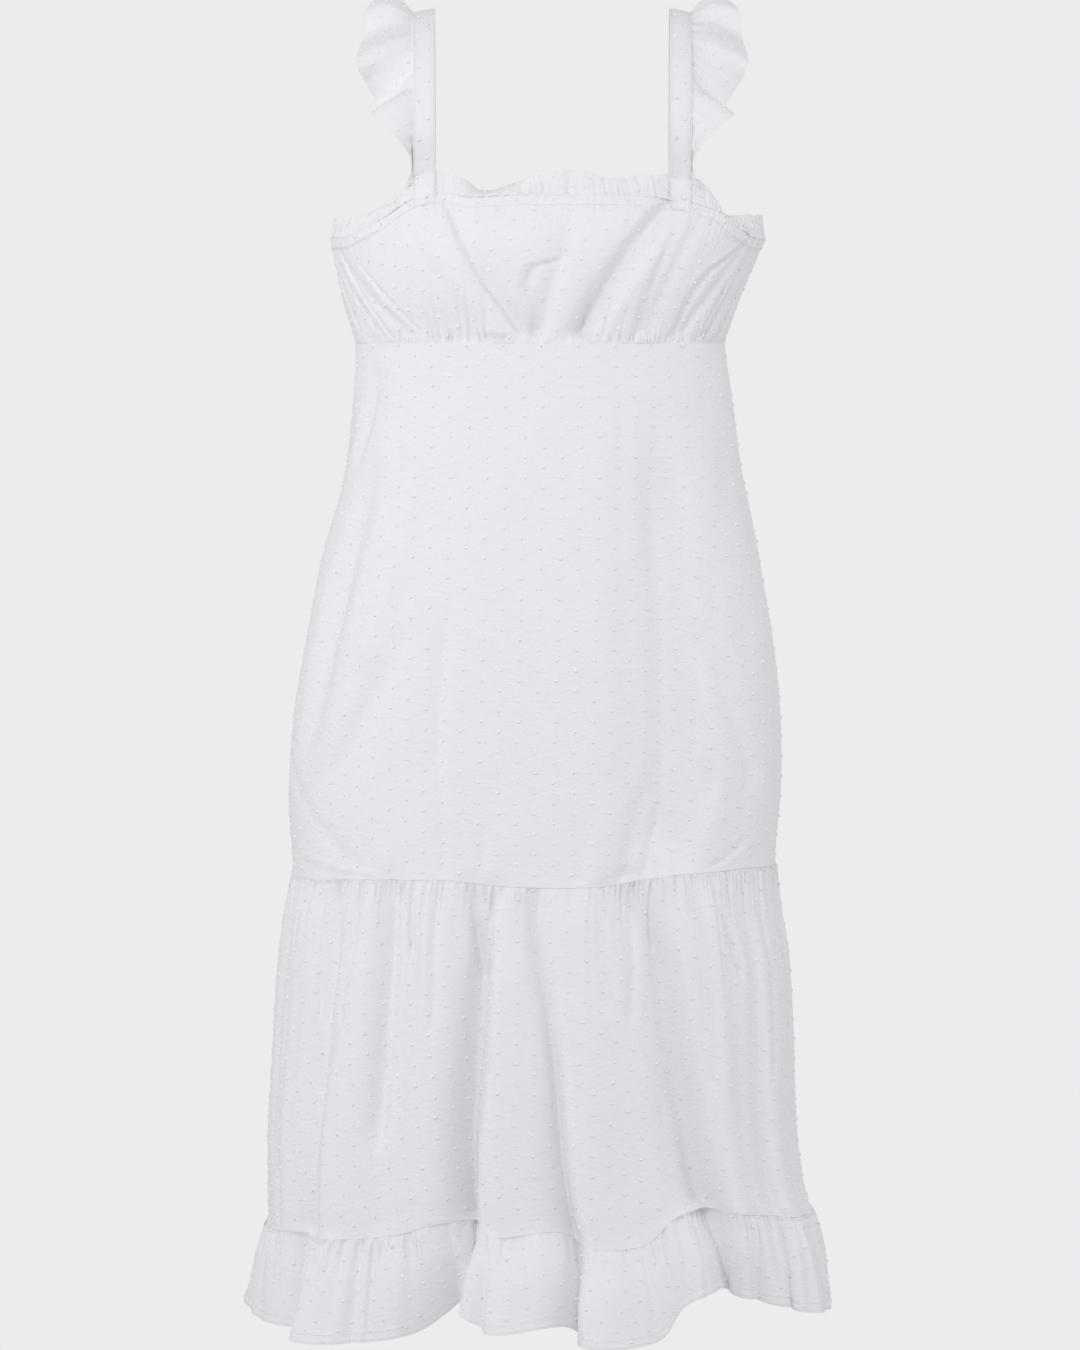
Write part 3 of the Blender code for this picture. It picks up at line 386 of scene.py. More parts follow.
# How finely a panel is drawn: columns on each half of the dress, and the shares of its height
# between two rows, at its edges and in the middle
Spacing = namedtuple("Spacing", "columns fine coarse")
BODICE_SPACING = Spacing(560, 0.007, 0.018)
SKIRT_SPACING = Spacing(300, 0.0016, 0.0085)
TIER_SPACING = Spacing(640, 0.0030, 0.0125)
HEM_FRILL_SPACING = Spacing(680, 0.012, 0.030)
NECK_FRILL_COLUMNS = 600
NECK_FRILL_ROWS = 20
ROW_GROWTH = 1.35

# At a gathered seam the cloth keeps a share of its gathers, and swells out a little below it.
# At the seam along its foot it keeps a smaller share and stands out in a soft lip.
SEAM_HOLD = 0.18
SEAM_REACH = 0.004
FOOT_HOLD = 0.1
FOOT_REACH = 0.006
FOOT_LIP = 0.0003
LIP_REACH = 0.004
TIER_SWELL = 0.0014
HEM_SWELL = 0.0018
SWELL_START = 0.005
SWELL_REACH = 0.030
SEAM_DIP = 0.0001
DIP_REACH = 0.0015

# The neck frill: its lowest row, how freely it stands at the straps, its waves and its root
NECK_FRILL_FOOT = -0.08
HELD_BY_STRAP = 0.25
STRAP_CLEARANCE = 0.002
STRAP_RELEASE = 0.008
WAVE_REACH = 0.022
WAVE_SHARE = 1.6
ROOT_OUT = 0.0012
ROOT_REACH = 0.0025
RIPPLE = 0.0006

# The casing at the neckline stands up from the bodice and ends in a stitched groove
CASING_END = 0.011
CASING_STEP = 0.0095
CASING_HEIGHT = 0.0008
CASING_GROOVE = 0.0118
GROOVE_DEPTH = 0.0009
GROOVE_REACH = 0.0011
EDGE_DIP = 0.0006
EDGE_REACH = 0.0012

# The casing is plain near the centre front, and full from an angle outward
CASING_PLAIN_TO = 42.0
CASING_FULL_OVER = 10.0
CASING_PLAIN_SHARE = 0.10

# What the underbust seam leaves of the bodice's gathers
UNDERBUST_HOLD = 0.60
UNDERBUST_REACH = 0.003

# The rolled hem of the hem frill
HEM_STEP = 0.0085
HEM_GROOVE = 0.0095
HEM_HEIGHT = 0.0005

# Tufts: their rows and unevenness, and rings of a dome as shares of its width and height
FIRST_TUFT_ROW = 0.31
TUFT_JITTER = 0.0004
TUFT_SIDES = 6
TUFT_SIZES = (0.85, 1.12)
TUFT_UNEVENNESS = (0.88, 1.12)
TUFT_PROFILE = ((1.0, -0.12), (0.86, 0.45), (0.48, 0.86))
TUFT_MARGIN = 0.0045
STRAP_TUFT_MARGIN = 0.003
STRAP_TUFT_LIFT = 0.0005
PLACES_SEED = 60
SIZES_SEED = 80

# Stitches: rows down from a piece's top edge, or up from its foot with a minus
STITCH_RADIUS = 0.00026
STITCH_SHARE = 0.72
STITCH_LIFT = 0.0003
STRAP_STITCH_LIFT = 0.0007
CASING_STITCHES = (0.0015, 0.0100)
HEM_STITCHES = (-0.0085, -0.0020)
STRAP_STITCHES = (0.0014, -0.0014)

# Grain of the cotton, in patches for each metre across and down, and how dark and light it is
WARP_SLUBS = (1500.0, 70.0)
WEFT_SLUBS = (90.0, 1300.0)
MOTTLE = (45.0, 45.0)
CRINKLE = (150.0, 330.0)
COTTON_SHADES = (0.955, 1.03)
THREAD_SHADES = (0.90, 1.06)
TUFT_GRAIN = 2600.0
SEWING_GRAIN = 3400.0

# Straps: where they lie across the dress, how they are sewn on, and the shape across them, with
# places across a strap as shares of its width
STRAP_INNER = 0.102
STRAP_WIDTH = 0.019
STRAP_SPLAY = 0.020
STRAP_END_BELOW_SEAM = 0.010
SHOULDER_SLOPE = 0.20
STRAP_LIFT = 0.0009
STRAP_LIFT_OVER = 0.008
STRAP_SINK = 0.0001
STRAP_SEWN_ROWS = 9
STRAP_END_ROW = 0.00015
STRAP_TOP = 0.0006
STRAP_CLEAR_OF_EDGE = 0.002
STRAP_READ_HEIGHT = -0.165
STRAP_ROWS = 120
STRAP_HALF = (0.0, 0.006, 0.03, 0.08, 0.14, 0.2, 0.35)
STRAP_CROWN = 0.0005
STRAP_GROOVE = 0.0002
STRAP_GROOVE_AT = 0.09
STRAP_GROOVE_REACH = 0.05
STRAP_PUCKER = 0.0003
STRAP_THICKNESS = 0.0002
Way = namedtuple("Way", "depth height")
OVER_THE_SHOULDER = (
    Way(-0.112, -0.112),
    Way(-0.098, -0.074),
    Way(-0.070, -0.036),
    Way(-0.036, -0.009),
    Way(0.000, 0.000),
    Way(0.036, -0.010),
    Way(0.066, -0.042),
    Way(0.087, -0.090),
    Way(0.096, -0.140),
)
Flutter = namedtuple("Flutter", "along out up forward bow")
STRAP_FRILL = (
    Flutter(0.00, 0.009, -0.004, 0.001, 0.000),
    Flutter(0.05, 0.0015, -0.001, 0.000, 0.000),
    Flutter(0.10, 0.010, -0.006, 0.005, 0.002),
    Flutter(0.15, 0.022, -0.012, 0.012, 0.003),
    Flutter(0.20, 0.037, -0.018, 0.012, 0.004),
    Flutter(0.25, 0.031, -0.029, -0.018, -0.003),
    Flutter(0.30, 0.042, -0.028, 0.000, -0.003),
    Flutter(0.345, 0.050, -0.024, 0.022, 0.003),
    Flutter(0.39, 0.046, -0.012, -0.004, 0.005),
    Flutter(0.44, 0.043, 0.004, 0.006, 0.008),
    Flutter(0.49, 0.032, 0.014, -0.010, 0.008),
    Flutter(0.55, 0.036, 0.008, -0.008, 0.007),
    Flutter(0.60, 0.044, -0.008, 0.006, 0.004),
    Flutter(0.65, 0.042, -0.018, -0.014, 0.003),
    Flutter(0.70, 0.033, -0.024, -0.002, -0.003),
    Flutter(0.75, 0.021, -0.016, -0.022, -0.003),
    Flutter(0.80, 0.009, -0.008, -0.030, 0.003),
    Flutter(0.87, 0.005, -0.007, -0.022, 0.002),
    Flutter(0.94, 0.004, -0.004, -0.010, 0.001),
    Flutter(1.00, 0.003, -0.001, -0.002, 0.000),
)
STRAP_FRILL_ROWS = 260
STRAP_FRILL_GATHERS = 46
STRAP_FRILL_SEEDS = {"left": 51, "right": 52}
STRAP_FRILL_INSET = 0.0008
STRAP_FRILL_JITTER = 0.4
STRAP_FRILL_WIDTHS = (0.006, 0.013)
STRAP_FRILL_LENGTHS = (0.22, 0.75)
STRAP_FRILL_DEPTHS = (0.0008, 0.0026)

# The studio: a bowl of paper with a flat floor, a rounded foot and a dome above, as radius and
# height, and the soft lights with the setting and the share of its power that each one has
FLOOR_HEIGHT = -1.46
FLOOR_RADIUS = 5.2
FOOT_RADIUS = 2.4
FOOT_ROWS = 12
BOWL_SIDES = 64
BOWL_DOME = ((7.6, 4.0), (6.0, 6.0), (3.0, 7.2), (0.0, 7.5))
ROOM_COLOUR = (1.0, 0.990, 1.030, 1.0)
LIGHTS_AIM = (0.0, 0.0, -0.45)
Lamp = namedtuple("Lamp", "name power share place size")
LAMPS = (
    Lamp("key_light", "key_power", 1.0, (-0.8, -2.2, 0.65), 1.4),
    Lamp("left_light", "fill_power", 1.2, (-3.0, -1.0, -0.3), 2.0),
    Lamp("right_light", "fill_power", 1.8, (3.0, -1.0, -0.2), 2.0),
    Lamp("rear_light", "fill_power", 2.0, (0.6, 3.0, 1.0), 2.0),
)
CAMERA_ACROSS = -0.0108
CAMERA_HEIGHT = -0.3015
CAMERA_AIM = (-0.0108, 0.0, -0.594)
FRAME_HEIGHT = 36.0


class ClothSettings(bpy.types.PropertyGroup):
    """Colours and small sizes of the dress's cloth."""

    cotton: bpy.props.FloatVectorProperty(
        name="Cotton",
        description="Colour of the cotton cloth",
        subtype="COLOR",
        size=3,
        min=0.0,
        max=1.0,
        default=(0.830, 0.825, 0.842),
    )
    tuft: bpy.props.FloatVectorProperty(
        name="Tuft",
        description="Colour of the woven tufts",
        subtype="COLOR",
        size=3,
        min=0.0,
        max=1.0,
        default=(0.865, 0.858, 0.878),
    )
    tuft_width: bpy.props.FloatProperty(
        name="Tuft width",
        description="Diameter of a woven tuft",
        subtype="DISTANCE",
        default=0.0031,
    )
    tuft_height: bpy.props.FloatProperty(
        name="Tuft height",
        description="How far a tuft stands out of the cloth",
        subtype="DISTANCE",
        default=0.0014,
    )
    tuft_across: bpy.props.FloatProperty(
        name="Tuft columns",
        description="Distance between two columns of tufts",
        subtype="DISTANCE",
        default=0.0164,
    )
    tuft_down: bpy.props.FloatProperty(
        name="Tuft spacing",
        description="Distance between two tufts in a column",
        subtype="DISTANCE",
        default=0.0177,
    )
    thread_pitch: bpy.props.FloatProperty(
        name="Thread pitch",
        description="Distance between two threads of the weave",
        subtype="DISTANCE",
        default=0.00062,
    )
    stitch: bpy.props.FloatProperty(
        name="Stitch",
        description="Length of one stitch and the gap after it",
        subtype="DISTANCE",
        default=0.0030,
    )


class StudioSettings(bpy.types.PropertyGroup):
    """The studio round the dress."""

    paper: bpy.props.FloatVectorProperty(
        name="Paper",
        description="Colour of the pale floor and backdrop",
        subtype="COLOR",
        size=3,
        min=0.0,
        max=1.0,
        default=(0.839, 0.839, 0.855),
    )
    room_light: bpy.props.FloatProperty(
        name="Room light",
        description="Brightness of the even light that the white room throws back",
        default=0.58,
    )
    key_power: bpy.props.FloatProperty(
        name="Key light",
        description="Power of the soft light from the left in front",
        subtype="POWER",
        default=23.5,
    )
    fill_power: bpy.props.FloatProperty(
        name="Fill light",
        description="Power of the soft lights from the sides and from behind",
        subtype="POWER",
        default=12.0,
    )
    camera_distance: bpy.props.FloatProperty(
        name="Camera distance",
        description="Distance from the dress to the camera",
        subtype="DISTANCE",
        default=4.0,
    )
    lens: bpy.props.FloatProperty(
        name="Lens",
        description="Focal length in millimetres, on a frame 36 mm high",
        subtype="DISTANCE_CAMERA",
        default=118.84,
    )


# Curves and rings


def smooth_read(table, column, at):
    """A column of a table as a smooth curve over the table's first column."""
    rows = sorted(table, key=lambda row: row[0])
    keys = np.array([row[0] for row in rows])
    values = np.array([getattr(row, column) for row in rows])
    slopes = np.empty_like(values)
    slopes[1:-1] = (values[2:] - values[:-2]) / (keys[2:] - keys[:-2])
    slopes[0] = (values[1] - values[0]) / (keys[1] - keys[0])
    slopes[-1] = (values[-1] - values[-2]) / (keys[-1] - keys[-2])
    at = np.clip(at, keys[0], keys[-1])
    i = np.clip(np.searchsorted(keys, at, side="right") - 1, 0, len(keys) - 2)
    step = keys[i + 1] - keys[i]
    t = (at - keys[i]) / step
    start = (1 + 2 * t) * (1 - t) ** 2 * values[i] + t * (1 - t) ** 2 * step * slopes[i]
    return start + t * t * (3 - 2 * t) * values[i + 1] + t * t * (t - 1) * step * slopes[i + 1]


def eased(t):
    """0 up to t = 0 and 1 from t = 1 on, with a smooth slope between."""
    t = np.clip(t, 0.0, 1.0)
    return t * t * (3 - 2 * t)


def eased_from(least, t):
    """The same slope, from a share that is kept at the start up to 1."""
    return least + (1 - least) * eased(t)


def mound(off, width):
    """1 in the middle, falling away softly to both sides."""
    return np.exp(-((off / width) ** 2))


def turned(angle):
    """The same angle between -180 and 180 degrees."""
    return (np.asarray(angle) + 180.0) % 360.0 - 180.0


def signed_power(value, power):
    """A power that keeps the sign of its value."""
    return np.sign(value) * np.abs(value) ** power


def bell(off):
    """1 at the middle of a fold, falling to 0 at its edges."""
    return np.where(np.abs(off) < 1, (1 + np.cos(np.pi * np.clip(off, -1, 1))) / 2, 0.0)


def fold_depth(angle, height):
    """How far the large folds move the cloth out."""
    total = np.zeros(np.broadcast(angle, height).shape)
    skew = FOLD_SKEW * eased((TIER_SEAM - height) / FOLD_LEAN_REACH)
    for fold in FOLDS:
        along = (fold.head_height - height) / (fold.head_height - fold.foot_height)
        along = np.clip(along, 0.0, 1.0)
        centre = fold.head_angle + (fold.foot_angle - fold.head_angle) * along
        above = eased((height - fold.head_height) / FADE_ABOVE)
        below = eased((fold.foot_height - height) / FADE_BELOW)
        depth = fold.head_depth + (fold.foot_depth - fold.head_depth) * along
        depth = depth + 4 * fold.belly * along * (1 - along)
        off = np.clip(turned(angle - centre) / fold.half_width, -1.0, 1.0)
        off = off + np.sign(fold.foot_depth) * skew * (1 - off**2)
        total += (1 - above) * (1 - below) * depth * bell(off)
    return total


def crease_depth(creases, angle, height):
    """How far the finer creases move the cloth, each a valley with a softer ridge beside it."""
    total = np.zeros(np.broadcast(angle, height).shape)
    for crease in creases:
        heights = np.array([point[1] for point in crease.path])[::-1]
        angles = np.array([point[0] for point in crease.path])[::-1]
        centre = np.interp(height, heights, angles)
        length = heights[-1] - heights[0]
        along = (heights[-1] - height) / length
        strength = eased((along + CREASE_START) / CREASE_FADE_IN)
        strength = strength * eased((CREASE_END - along) / CREASE_FADE_OUT)
        off = turned(angle - centre) / crease.half_width
        side = np.sign(crease.ridge)
        valley = -crease.depth * np.exp(-((VALLEY_STEEPNESS * off) ** 2))
        ridge = abs(crease.ridge) * np.exp(-((RIDGE_STEEPNESS * (off - RIDGE_OFF * side)) ** 2))
        total += strength * (valley + ridge)
    return total


def gather_depth(gathers, side, angle, away):
    """Uneven gathers that run out at different distances away from their seam."""
    chance = np.random.default_rng(gathers.seed + (0 if side == "front" else BACK_SEED))
    start = -90.0 if side == "front" else 90.0
    step = 180.0 / gathers.count
    total = np.zeros(np.broadcast(angle, away).shape)
    angle = np.broadcast_to(angle, total.shape)
    away = np.broadcast_to(away, total.shape)
    columns = angle[0]
    for i in range(gathers.count):
        centre = start + step * (i + 0.5 + chance.uniform(-GATHER_JITTER, GATHER_JITTER))
        half_width = chance.uniform(gathers.narrow, gathers.wide)
        length = chance.uniform(gathers.short, gathers.long)
        depth = chance.uniform(gathers.shallow, gathers.deep)
        slant = chance.uniform(-GATHER_SLANT, GATHER_SLANT) * half_width
        inside = np.abs(columns - centre) < GATHER_REACH * half_width
        if not inside.any():
            continue
        share = away[:, inside] / length
        off = (angle[:, inside] - centre - slant * share) / half_width
        fade = np.exp(-(share**2))
        valley = np.exp(-((GATHER_STEEPNESS * off) ** 2))
        flanks = FLANK_SHARE * np.exp(-((FLANK_STEEPNESS * off) ** 2))
        total[:, inside] -= depth * fade * (valley - flanks)
    return total


def wander(angle, height):
    """A slow, slight unevenness that keeps the cloth from lying dead smooth."""
    turn = np.radians(angle)
    slow = np.sin(7 * turn + 19 * height + 0.6) * np.sin(11 * height + 3 * turn)
    quick = np.sin(17 * turn - 31 * height + 1.7) * np.sin(23 * height + 2.0)
    return SLOW_WANDER * slow + QUICK_WANDER * quick


def bust(x, height):
    """Fullness of the bodice's front, which ends at the underbust seam."""
    over = mound(height - BUST_HEIGHT, BUST_REACH)
    foot = eased((height - UNDERBUST) / BUST_FOOT)
    left, right = mound(x + BUST_ACROSS, BUST_SPREAD), mound(x - BUST_ACROSS, BUST_SPREAD)
    return np.where(height < UNDERBUST, 0.0, BUST_FULLNESS * over * foot * (left + right))


def ring_sizes(height):
    """The middle and the half width of the ring at a height."""
    left, right = smooth_read(RINGS, "left", height), smooth_read(RINGS, "right", height)
    return (right - left) / 2, (right + left) / 2


def cloth(angle, height, out=0.0):
    """Points of the cloth at angles and ring heights, moved out by `out`."""
    angle, height, out = np.broadcast_arrays(
        np.asarray(angle, float), np.asarray(height, float), np.asarray(out, float)
    )
    middle, half = ring_sizes(height)
    turn = np.radians(angle)
    in_front = np.abs(turned(angle)) <= 90.0
    front, back = smooth_read(RINGS, "front", height), smooth_read(RINGS, "back", height)
    depth = np.where(in_front, front, back)
    sine, cosine = np.sin(turn), np.cos(turn)
    x = middle + half * signed_power(sine, 2 / ROUNDNESS)
    y = -depth * signed_power(cosine, 2 / ROUNDNESS)
    across, ahead = sine / half, -cosine / depth
    length = np.hypot(across, ahead)
    across, ahead = across / length, ahead / length
    lean = fold_depth(angle + LEAN_STEP, height) - fold_depth(angle - LEAN_STEP, height)
    overhang = OVERHANG + HEM_OVERHANG * eased((FRILL_SEAM - height) / HEM_OVERHANG_REACH)
    folds = fold_depth(angle, height)
    shift = -overhang * lean / (2 * math.radians(LEAN_STEP) * np.hypot(half, depth))
    shift -= FOLD_LEAN * folds * eased((TIER_SEAM - height) / FOLD_LEAN_REACH)
    reach = folds + out + np.where(in_front, bust(x, height), 0.0)
    return np.stack(
        [x + across * reach - ahead * shift, y + ahead * reach + across * shift, height], axis=-1
    )


def spaced(spacing):
    """Shares from 0 to 1 down a panel, close together at both ends."""
    steps = []
    reached = 0.0
    while reached < 0.5:
        step = min(spacing.fine * ROW_GROWTH ** len(steps), spacing.coarse)
        steps.append(step)
        reached += step
    half = np.concatenate([[0.0], np.cumsum(steps)])
    half *= 0.5 / half[-1]
    return np.concatenate([half, 1 - half[-2::-1]])


def tucked(shares, drop):
    """Shares of a panel's height with one more row above, which tucks in behind the seam."""
    return np.concatenate([[-TUCK_UP / abs(drop)], shares])[:, None]


def half_turn(side, columns):
    """Angles across the front or the back, from one side seam to the other."""
    start = -90.0 if side == "front" else 90.0
    return start + np.linspace(0.0, 180.0, columns + 1)


# Cloth pieces


def distances(line):
    """How far each point of a line lies along it."""
    return np.concatenate([[0.0], np.cumsum(np.linalg.norm(np.diff(line, axis=0), axis=1))])


def surface_normals(grid):
    """Directions that point out of a grid of points, of length 1."""
    across = np.gradient(grid, axis=1)
    down = np.gradient(grid, axis=0)
    normals = np.cross(down, across)
    return normals / np.maximum(np.linalg.norm(normals, axis=2, keepdims=True), 1e-12)


def flat_places(grid):
    """Where each point lay on the flat cloth: across from the middle column, and down."""
    across = np.linalg.norm(np.diff(grid, axis=1), axis=2)
    across = np.concatenate([np.zeros((len(grid), 1)), np.cumsum(across, axis=1)], axis=1)
    across -= across[:, [grid.shape[1] // 2]]
    down = np.linalg.norm(np.diff(grid, axis=0), axis=2)
    down = np.concatenate([np.zeros((1, grid.shape[1])), np.cumsum(down, axis=0)], axis=0)
    return np.stack([across, down], axis=-1)


def new_object(name, points, faces, material):
    """A smooth object through points, in the scene's own collection."""
    mesh = bpy.data.meshes.new(name)
    mesh.from_pydata(points, [], faces)
    mesh.materials.append(material)
    mesh.shade_smooth()
    obj = bpy.data.objects.new(name, mesh)
    bpy.context.scene.collection.objects.link(obj)
    return obj


def cloth_object(name, grid, material):
    """A sheet of cloth through a grid of points, with the flat cloth's own UV map in metres."""
    rows, columns = grid.shape[:2]
    index = np.arange(rows * columns).reshape(rows, columns)
    quads = np.stack([index[:-1, :-1], index[1:, :-1], index[1:, 1:], index[:-1, 1:]], axis=-1)
    quads = quads.reshape(-1, 4)
    obj = new_object(name, grid.reshape(-1, 3).tolist(), quads.tolist(), material)
    flat = flat_places(grid).reshape(-1, 2)
    layer = obj.data.uv_layers.new(name="flat_cloth")
    layer.data.foreach_set("uv", flat[quads.reshape(-1)].astype(np.float32).reshape(-1))
    return obj


def seat(obj, *nodes):
    """Places a piece on the dress and has it stand for the named solids."""
    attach(obj, "root")
    if nodes:
        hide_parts(*nodes)


def sampled(values, rows, columns):
    """Values of a grid at places between its points."""
    rows = np.clip(rows, 0, values.shape[0] - 1.001)
    columns = np.clip(columns, 0, values.shape[1] - 1.001)
    r, c = rows.astype(int), columns.astype(int)
    tr, tc = (rows - r)[..., None], (columns - c)[..., None]
    top = values[r, c] * (1 - tc) + values[r, c + 1] * tc
    foot = values[r + 1, c] * (1 - tc) + values[r + 1, c + 1] * tc
    return top * (1 - tr) + foot * tr


def tuft_places(grid, across, down, margin, seed):
    """Places of tufts in staggered columns on the flat cloth, and the cloth's normals there."""
    flat = flat_places(grid)
    normals = surface_normals(grid)
    chance = np.random.default_rng(seed)
    places, outs = [], []
    column_numbers = np.arange(grid.shape[1])
    deepest = flat[-1, :, 1].max()
    for j in range(int(deepest / (down / 2)) + 1):
        depth = down * (FIRST_TUFT_ROW + 0.5 * j)
        row_at = np.array(
            [np.interp(depth, flat[:, c, 1], np.arange(len(grid))) for c in column_numbers]
        )
        room = flat[-1, :, 1] - depth
        line = sampled(grid, row_at, column_numbers.astype(float))
        run = distances(line)
        run -= run[grid.shape[1] // 2]
        stagger = 0.5 if j % 2 else 0.0
        first = math.ceil((run[0] + margin) / across / 2 - stagger)
        last = math.floor((run[-1] - margin) / across / 2 - stagger)
        for i in range(first, last + 1):
            along = across * 2 * (i + stagger) + chance.normal(0, TUFT_JITTER)
            column = np.interp(along, run, column_numbers)
            if np.interp(column, column_numbers, room) < margin or depth < margin:
                continue
            row = np.interp(column, column_numbers, row_at)
            places.append(sampled(grid, np.array(row), np.array(column)))
            outs.append(sampled(normals, np.array(row), np.array(column)))
    return np.array(places), np.array(outs)


def tuft_object(name, places, outs, width, height, material, seed):
    """Small soft domes of thread, one mesh for a panel."""
    chance = np.random.default_rng(seed)
    sides = TUFT_SIDES
    outs = outs / np.linalg.norm(outs, axis=1, keepdims=True)
    helper = np.where(np.abs(outs[:, [2]]) > 0.9, [[1.0, 0.0, 0.0]], [[0.0, 0.0, 1.0]])
    right = np.cross(outs, helper)
    right /= np.linalg.norm(right, axis=1, keepdims=True)
    up = np.cross(right, outs)
    size = chance.uniform(*TUFT_SIZES, (len(places), 1))
    rings = []
    for share, lift in TUFT_PROFILE:
        for k in range(sides):
            turn = 2 * math.pi * k / sides
            wide = width / 2 * share * size * chance.uniform(*TUFT_UNEVENNESS, (len(places), 1))
            spread = right * math.cos(turn) + up * math.sin(turn)
            rings.append(places + spread * wide + outs * height * lift * size)
    rings.append(places + outs * height * size)
    points = np.stack(rings, axis=1)
    faces = []
    for level in (0, sides):
        for k in range(sides):
            n = (k + 1) % sides
            faces.append((level + k, level + n, level + sides + n, level + sides + k))
    caps = [(2 * sides + k, 2 * sides + (k + 1) % sides, 3 * sides) for k in range(sides)]
    all_faces = []
    for base in range(0, points.shape[0] * points.shape[1], points.shape[1]):
        all_faces += [tuple(base + v for v in face) for face in faces + caps]
    return new_object(name, points.reshape(-1, 3).tolist(), all_faces, material)


def stitch_object(name, lines, pitch, material):
    """Running stitches along lines of points, each a spindle of thread. A line is (points, outs)."""
    points, faces = [], []
    for line, outs in lines:
        run = distances(line)
        for start in np.arange(pitch / 2, run[-1] - pitch, pitch):
            ends = [
                np.array([np.interp(at, run, line[:, k]) for k in range(3)])
                for at in (start, start + pitch * STITCH_SHARE)
            ]
            out = np.array([np.interp(start, run, outs[:, k]) for k in range(3)])
            along = ends[1] - ends[0]
            side = np.cross(along, out)
            side = side / max(np.linalg.norm(side), 1e-9) * STITCH_RADIUS
            out = out / max(np.linalg.norm(out), 1e-9) * STITCH_RADIUS
            middle = (ends[0] + ends[1]) / 2 + out
            base = len(points)
            points += [ends[0], middle + out, middle + side]
            points += [middle - out * 1.5, middle - side, ends[1]]
            for a, b in ((1, 2), (2, 3), (3, 4), (4, 1)):
                faces.append((base, base + a, base + b))
                faces.append((base + 5, base + b, base + a))
    return new_object(name, np.array(points).tolist(), faces, material)


def row_line(grid, down, lift=STITCH_LIFT):
    """A line across a grid at a distance down from its top edge, and the normals along it."""
    flat = flat_places(grid)
    columns = np.arange(grid.shape[1], dtype=float)
    target = np.where(down >= 0, down, flat[-1, :, 1] + down)
    numbers = np.arange(len(grid))
    rows = np.array([np.interp(at, run, numbers) for at, run in zip(target, flat[..., 1].T)])
    normals = sampled(surface_normals(grid), rows, columns)
    return sampled(grid, rows, columns) + normals * lift, normals


# Finishes


class Value:
    """A number in a material's nodes, so that shader maths reads as ordinary maths."""

    def __init__(self, finish, socket):
        self.finish = finish
        self.socket = socket

    def _math(self, operation, first, second=None):
        inputs = {0: first} if second is None else {0: first, 1: second}
        return self.finish.node("ShaderNodeMath", {"operation": operation}, inputs)

    def __add__(self, other):
        return self._math("ADD", self, other)

    def __radd__(self, other):
        return self._math("ADD", other, self)

    def __mul__(self, other):
        return self._math("MULTIPLY", self, other)

    def __rmul__(self, other):
        return self._math("MULTIPLY", other, self)

    def sine(self):
        return self._math("SINE", self)


class Finish:
    """A material and the few ways in which its nodes are added."""

    def __init__(self, name):
        self.material = bpy.data.materials.new(name)
        self.material.use_nodes = True
        self.nodes = self.material.node_tree.nodes
        self.links = self.material.node_tree.links
        self.shader = self.nodes["Principled BSDF"]

    def node(self, kind, settings=None, inputs=None, output=0):
        """Adds a node with its settings and inputs, and gives one of its outputs."""
        made = self.nodes.new(kind)
        for name, value in (settings or {}).items():
            setattr(made, name, value)
        for name, value in (inputs or {}).items():
            self.feed(made.inputs[name], value)
        return Value(self, made.outputs[output])

    def feed(self, socket, value):
        """Links a value of the nodes to an input, or sets it to a plain number."""
        if isinstance(value, Value):
            self.links.new(value.socket, socket)
        else:
            socket.default_value = value

    def look(self, inputs):
        """Sets or links the shader's own inputs."""
        for name, value in inputs.items():
            self.feed(self.shader.inputs[name], value)

    def flat_cloth(self):
        """Places on the flat cloth in metres, across and down."""
        place = self.node("ShaderNodeUVMap", {"uv_map": "flat_cloth"})
        across = self.node("ShaderNodeSeparateXYZ", inputs={0: place})
        return across, Value(self, across.socket.node.outputs[1])

    def noise(self, across, down, grain, detail=2.0):
        """Soft patches on the flat cloth, `grain` of them for each metre across and down."""
        place = {0: across * grain[0], 1: down * grain[1], 2: 0.0}
        vector = self.node("ShaderNodeCombineXYZ", inputs=place)
        inputs = {"Vector": vector, "Scale": 1.0, "Detail": detail}
        return self.node("ShaderNodeTexNoise", {"noise_dimensions": "2D"}, inputs)

    def blend(self, factor, first, second):
        """A colour between two others."""
        inputs = {0: factor, 6: first, 7: second}
        return self.node("ShaderNodeMix", {"data_type": "RGBA"}, inputs, output=2)

    def bump(self, height, strength, distance, normal=None):
        """The surface's direction as a small relief turns it."""
        inputs = {"Height": height, "Strength": strength, "Distance": distance}
        if normal is not None:
            inputs["Normal"] = normal
        return self.node("ShaderNodeBump", inputs=inputs)


def shade(colour, by):
    """A colour made darker or lighter."""
    return (colour[0] * by, colour[1] * by, colour[2] * by, 1.0)


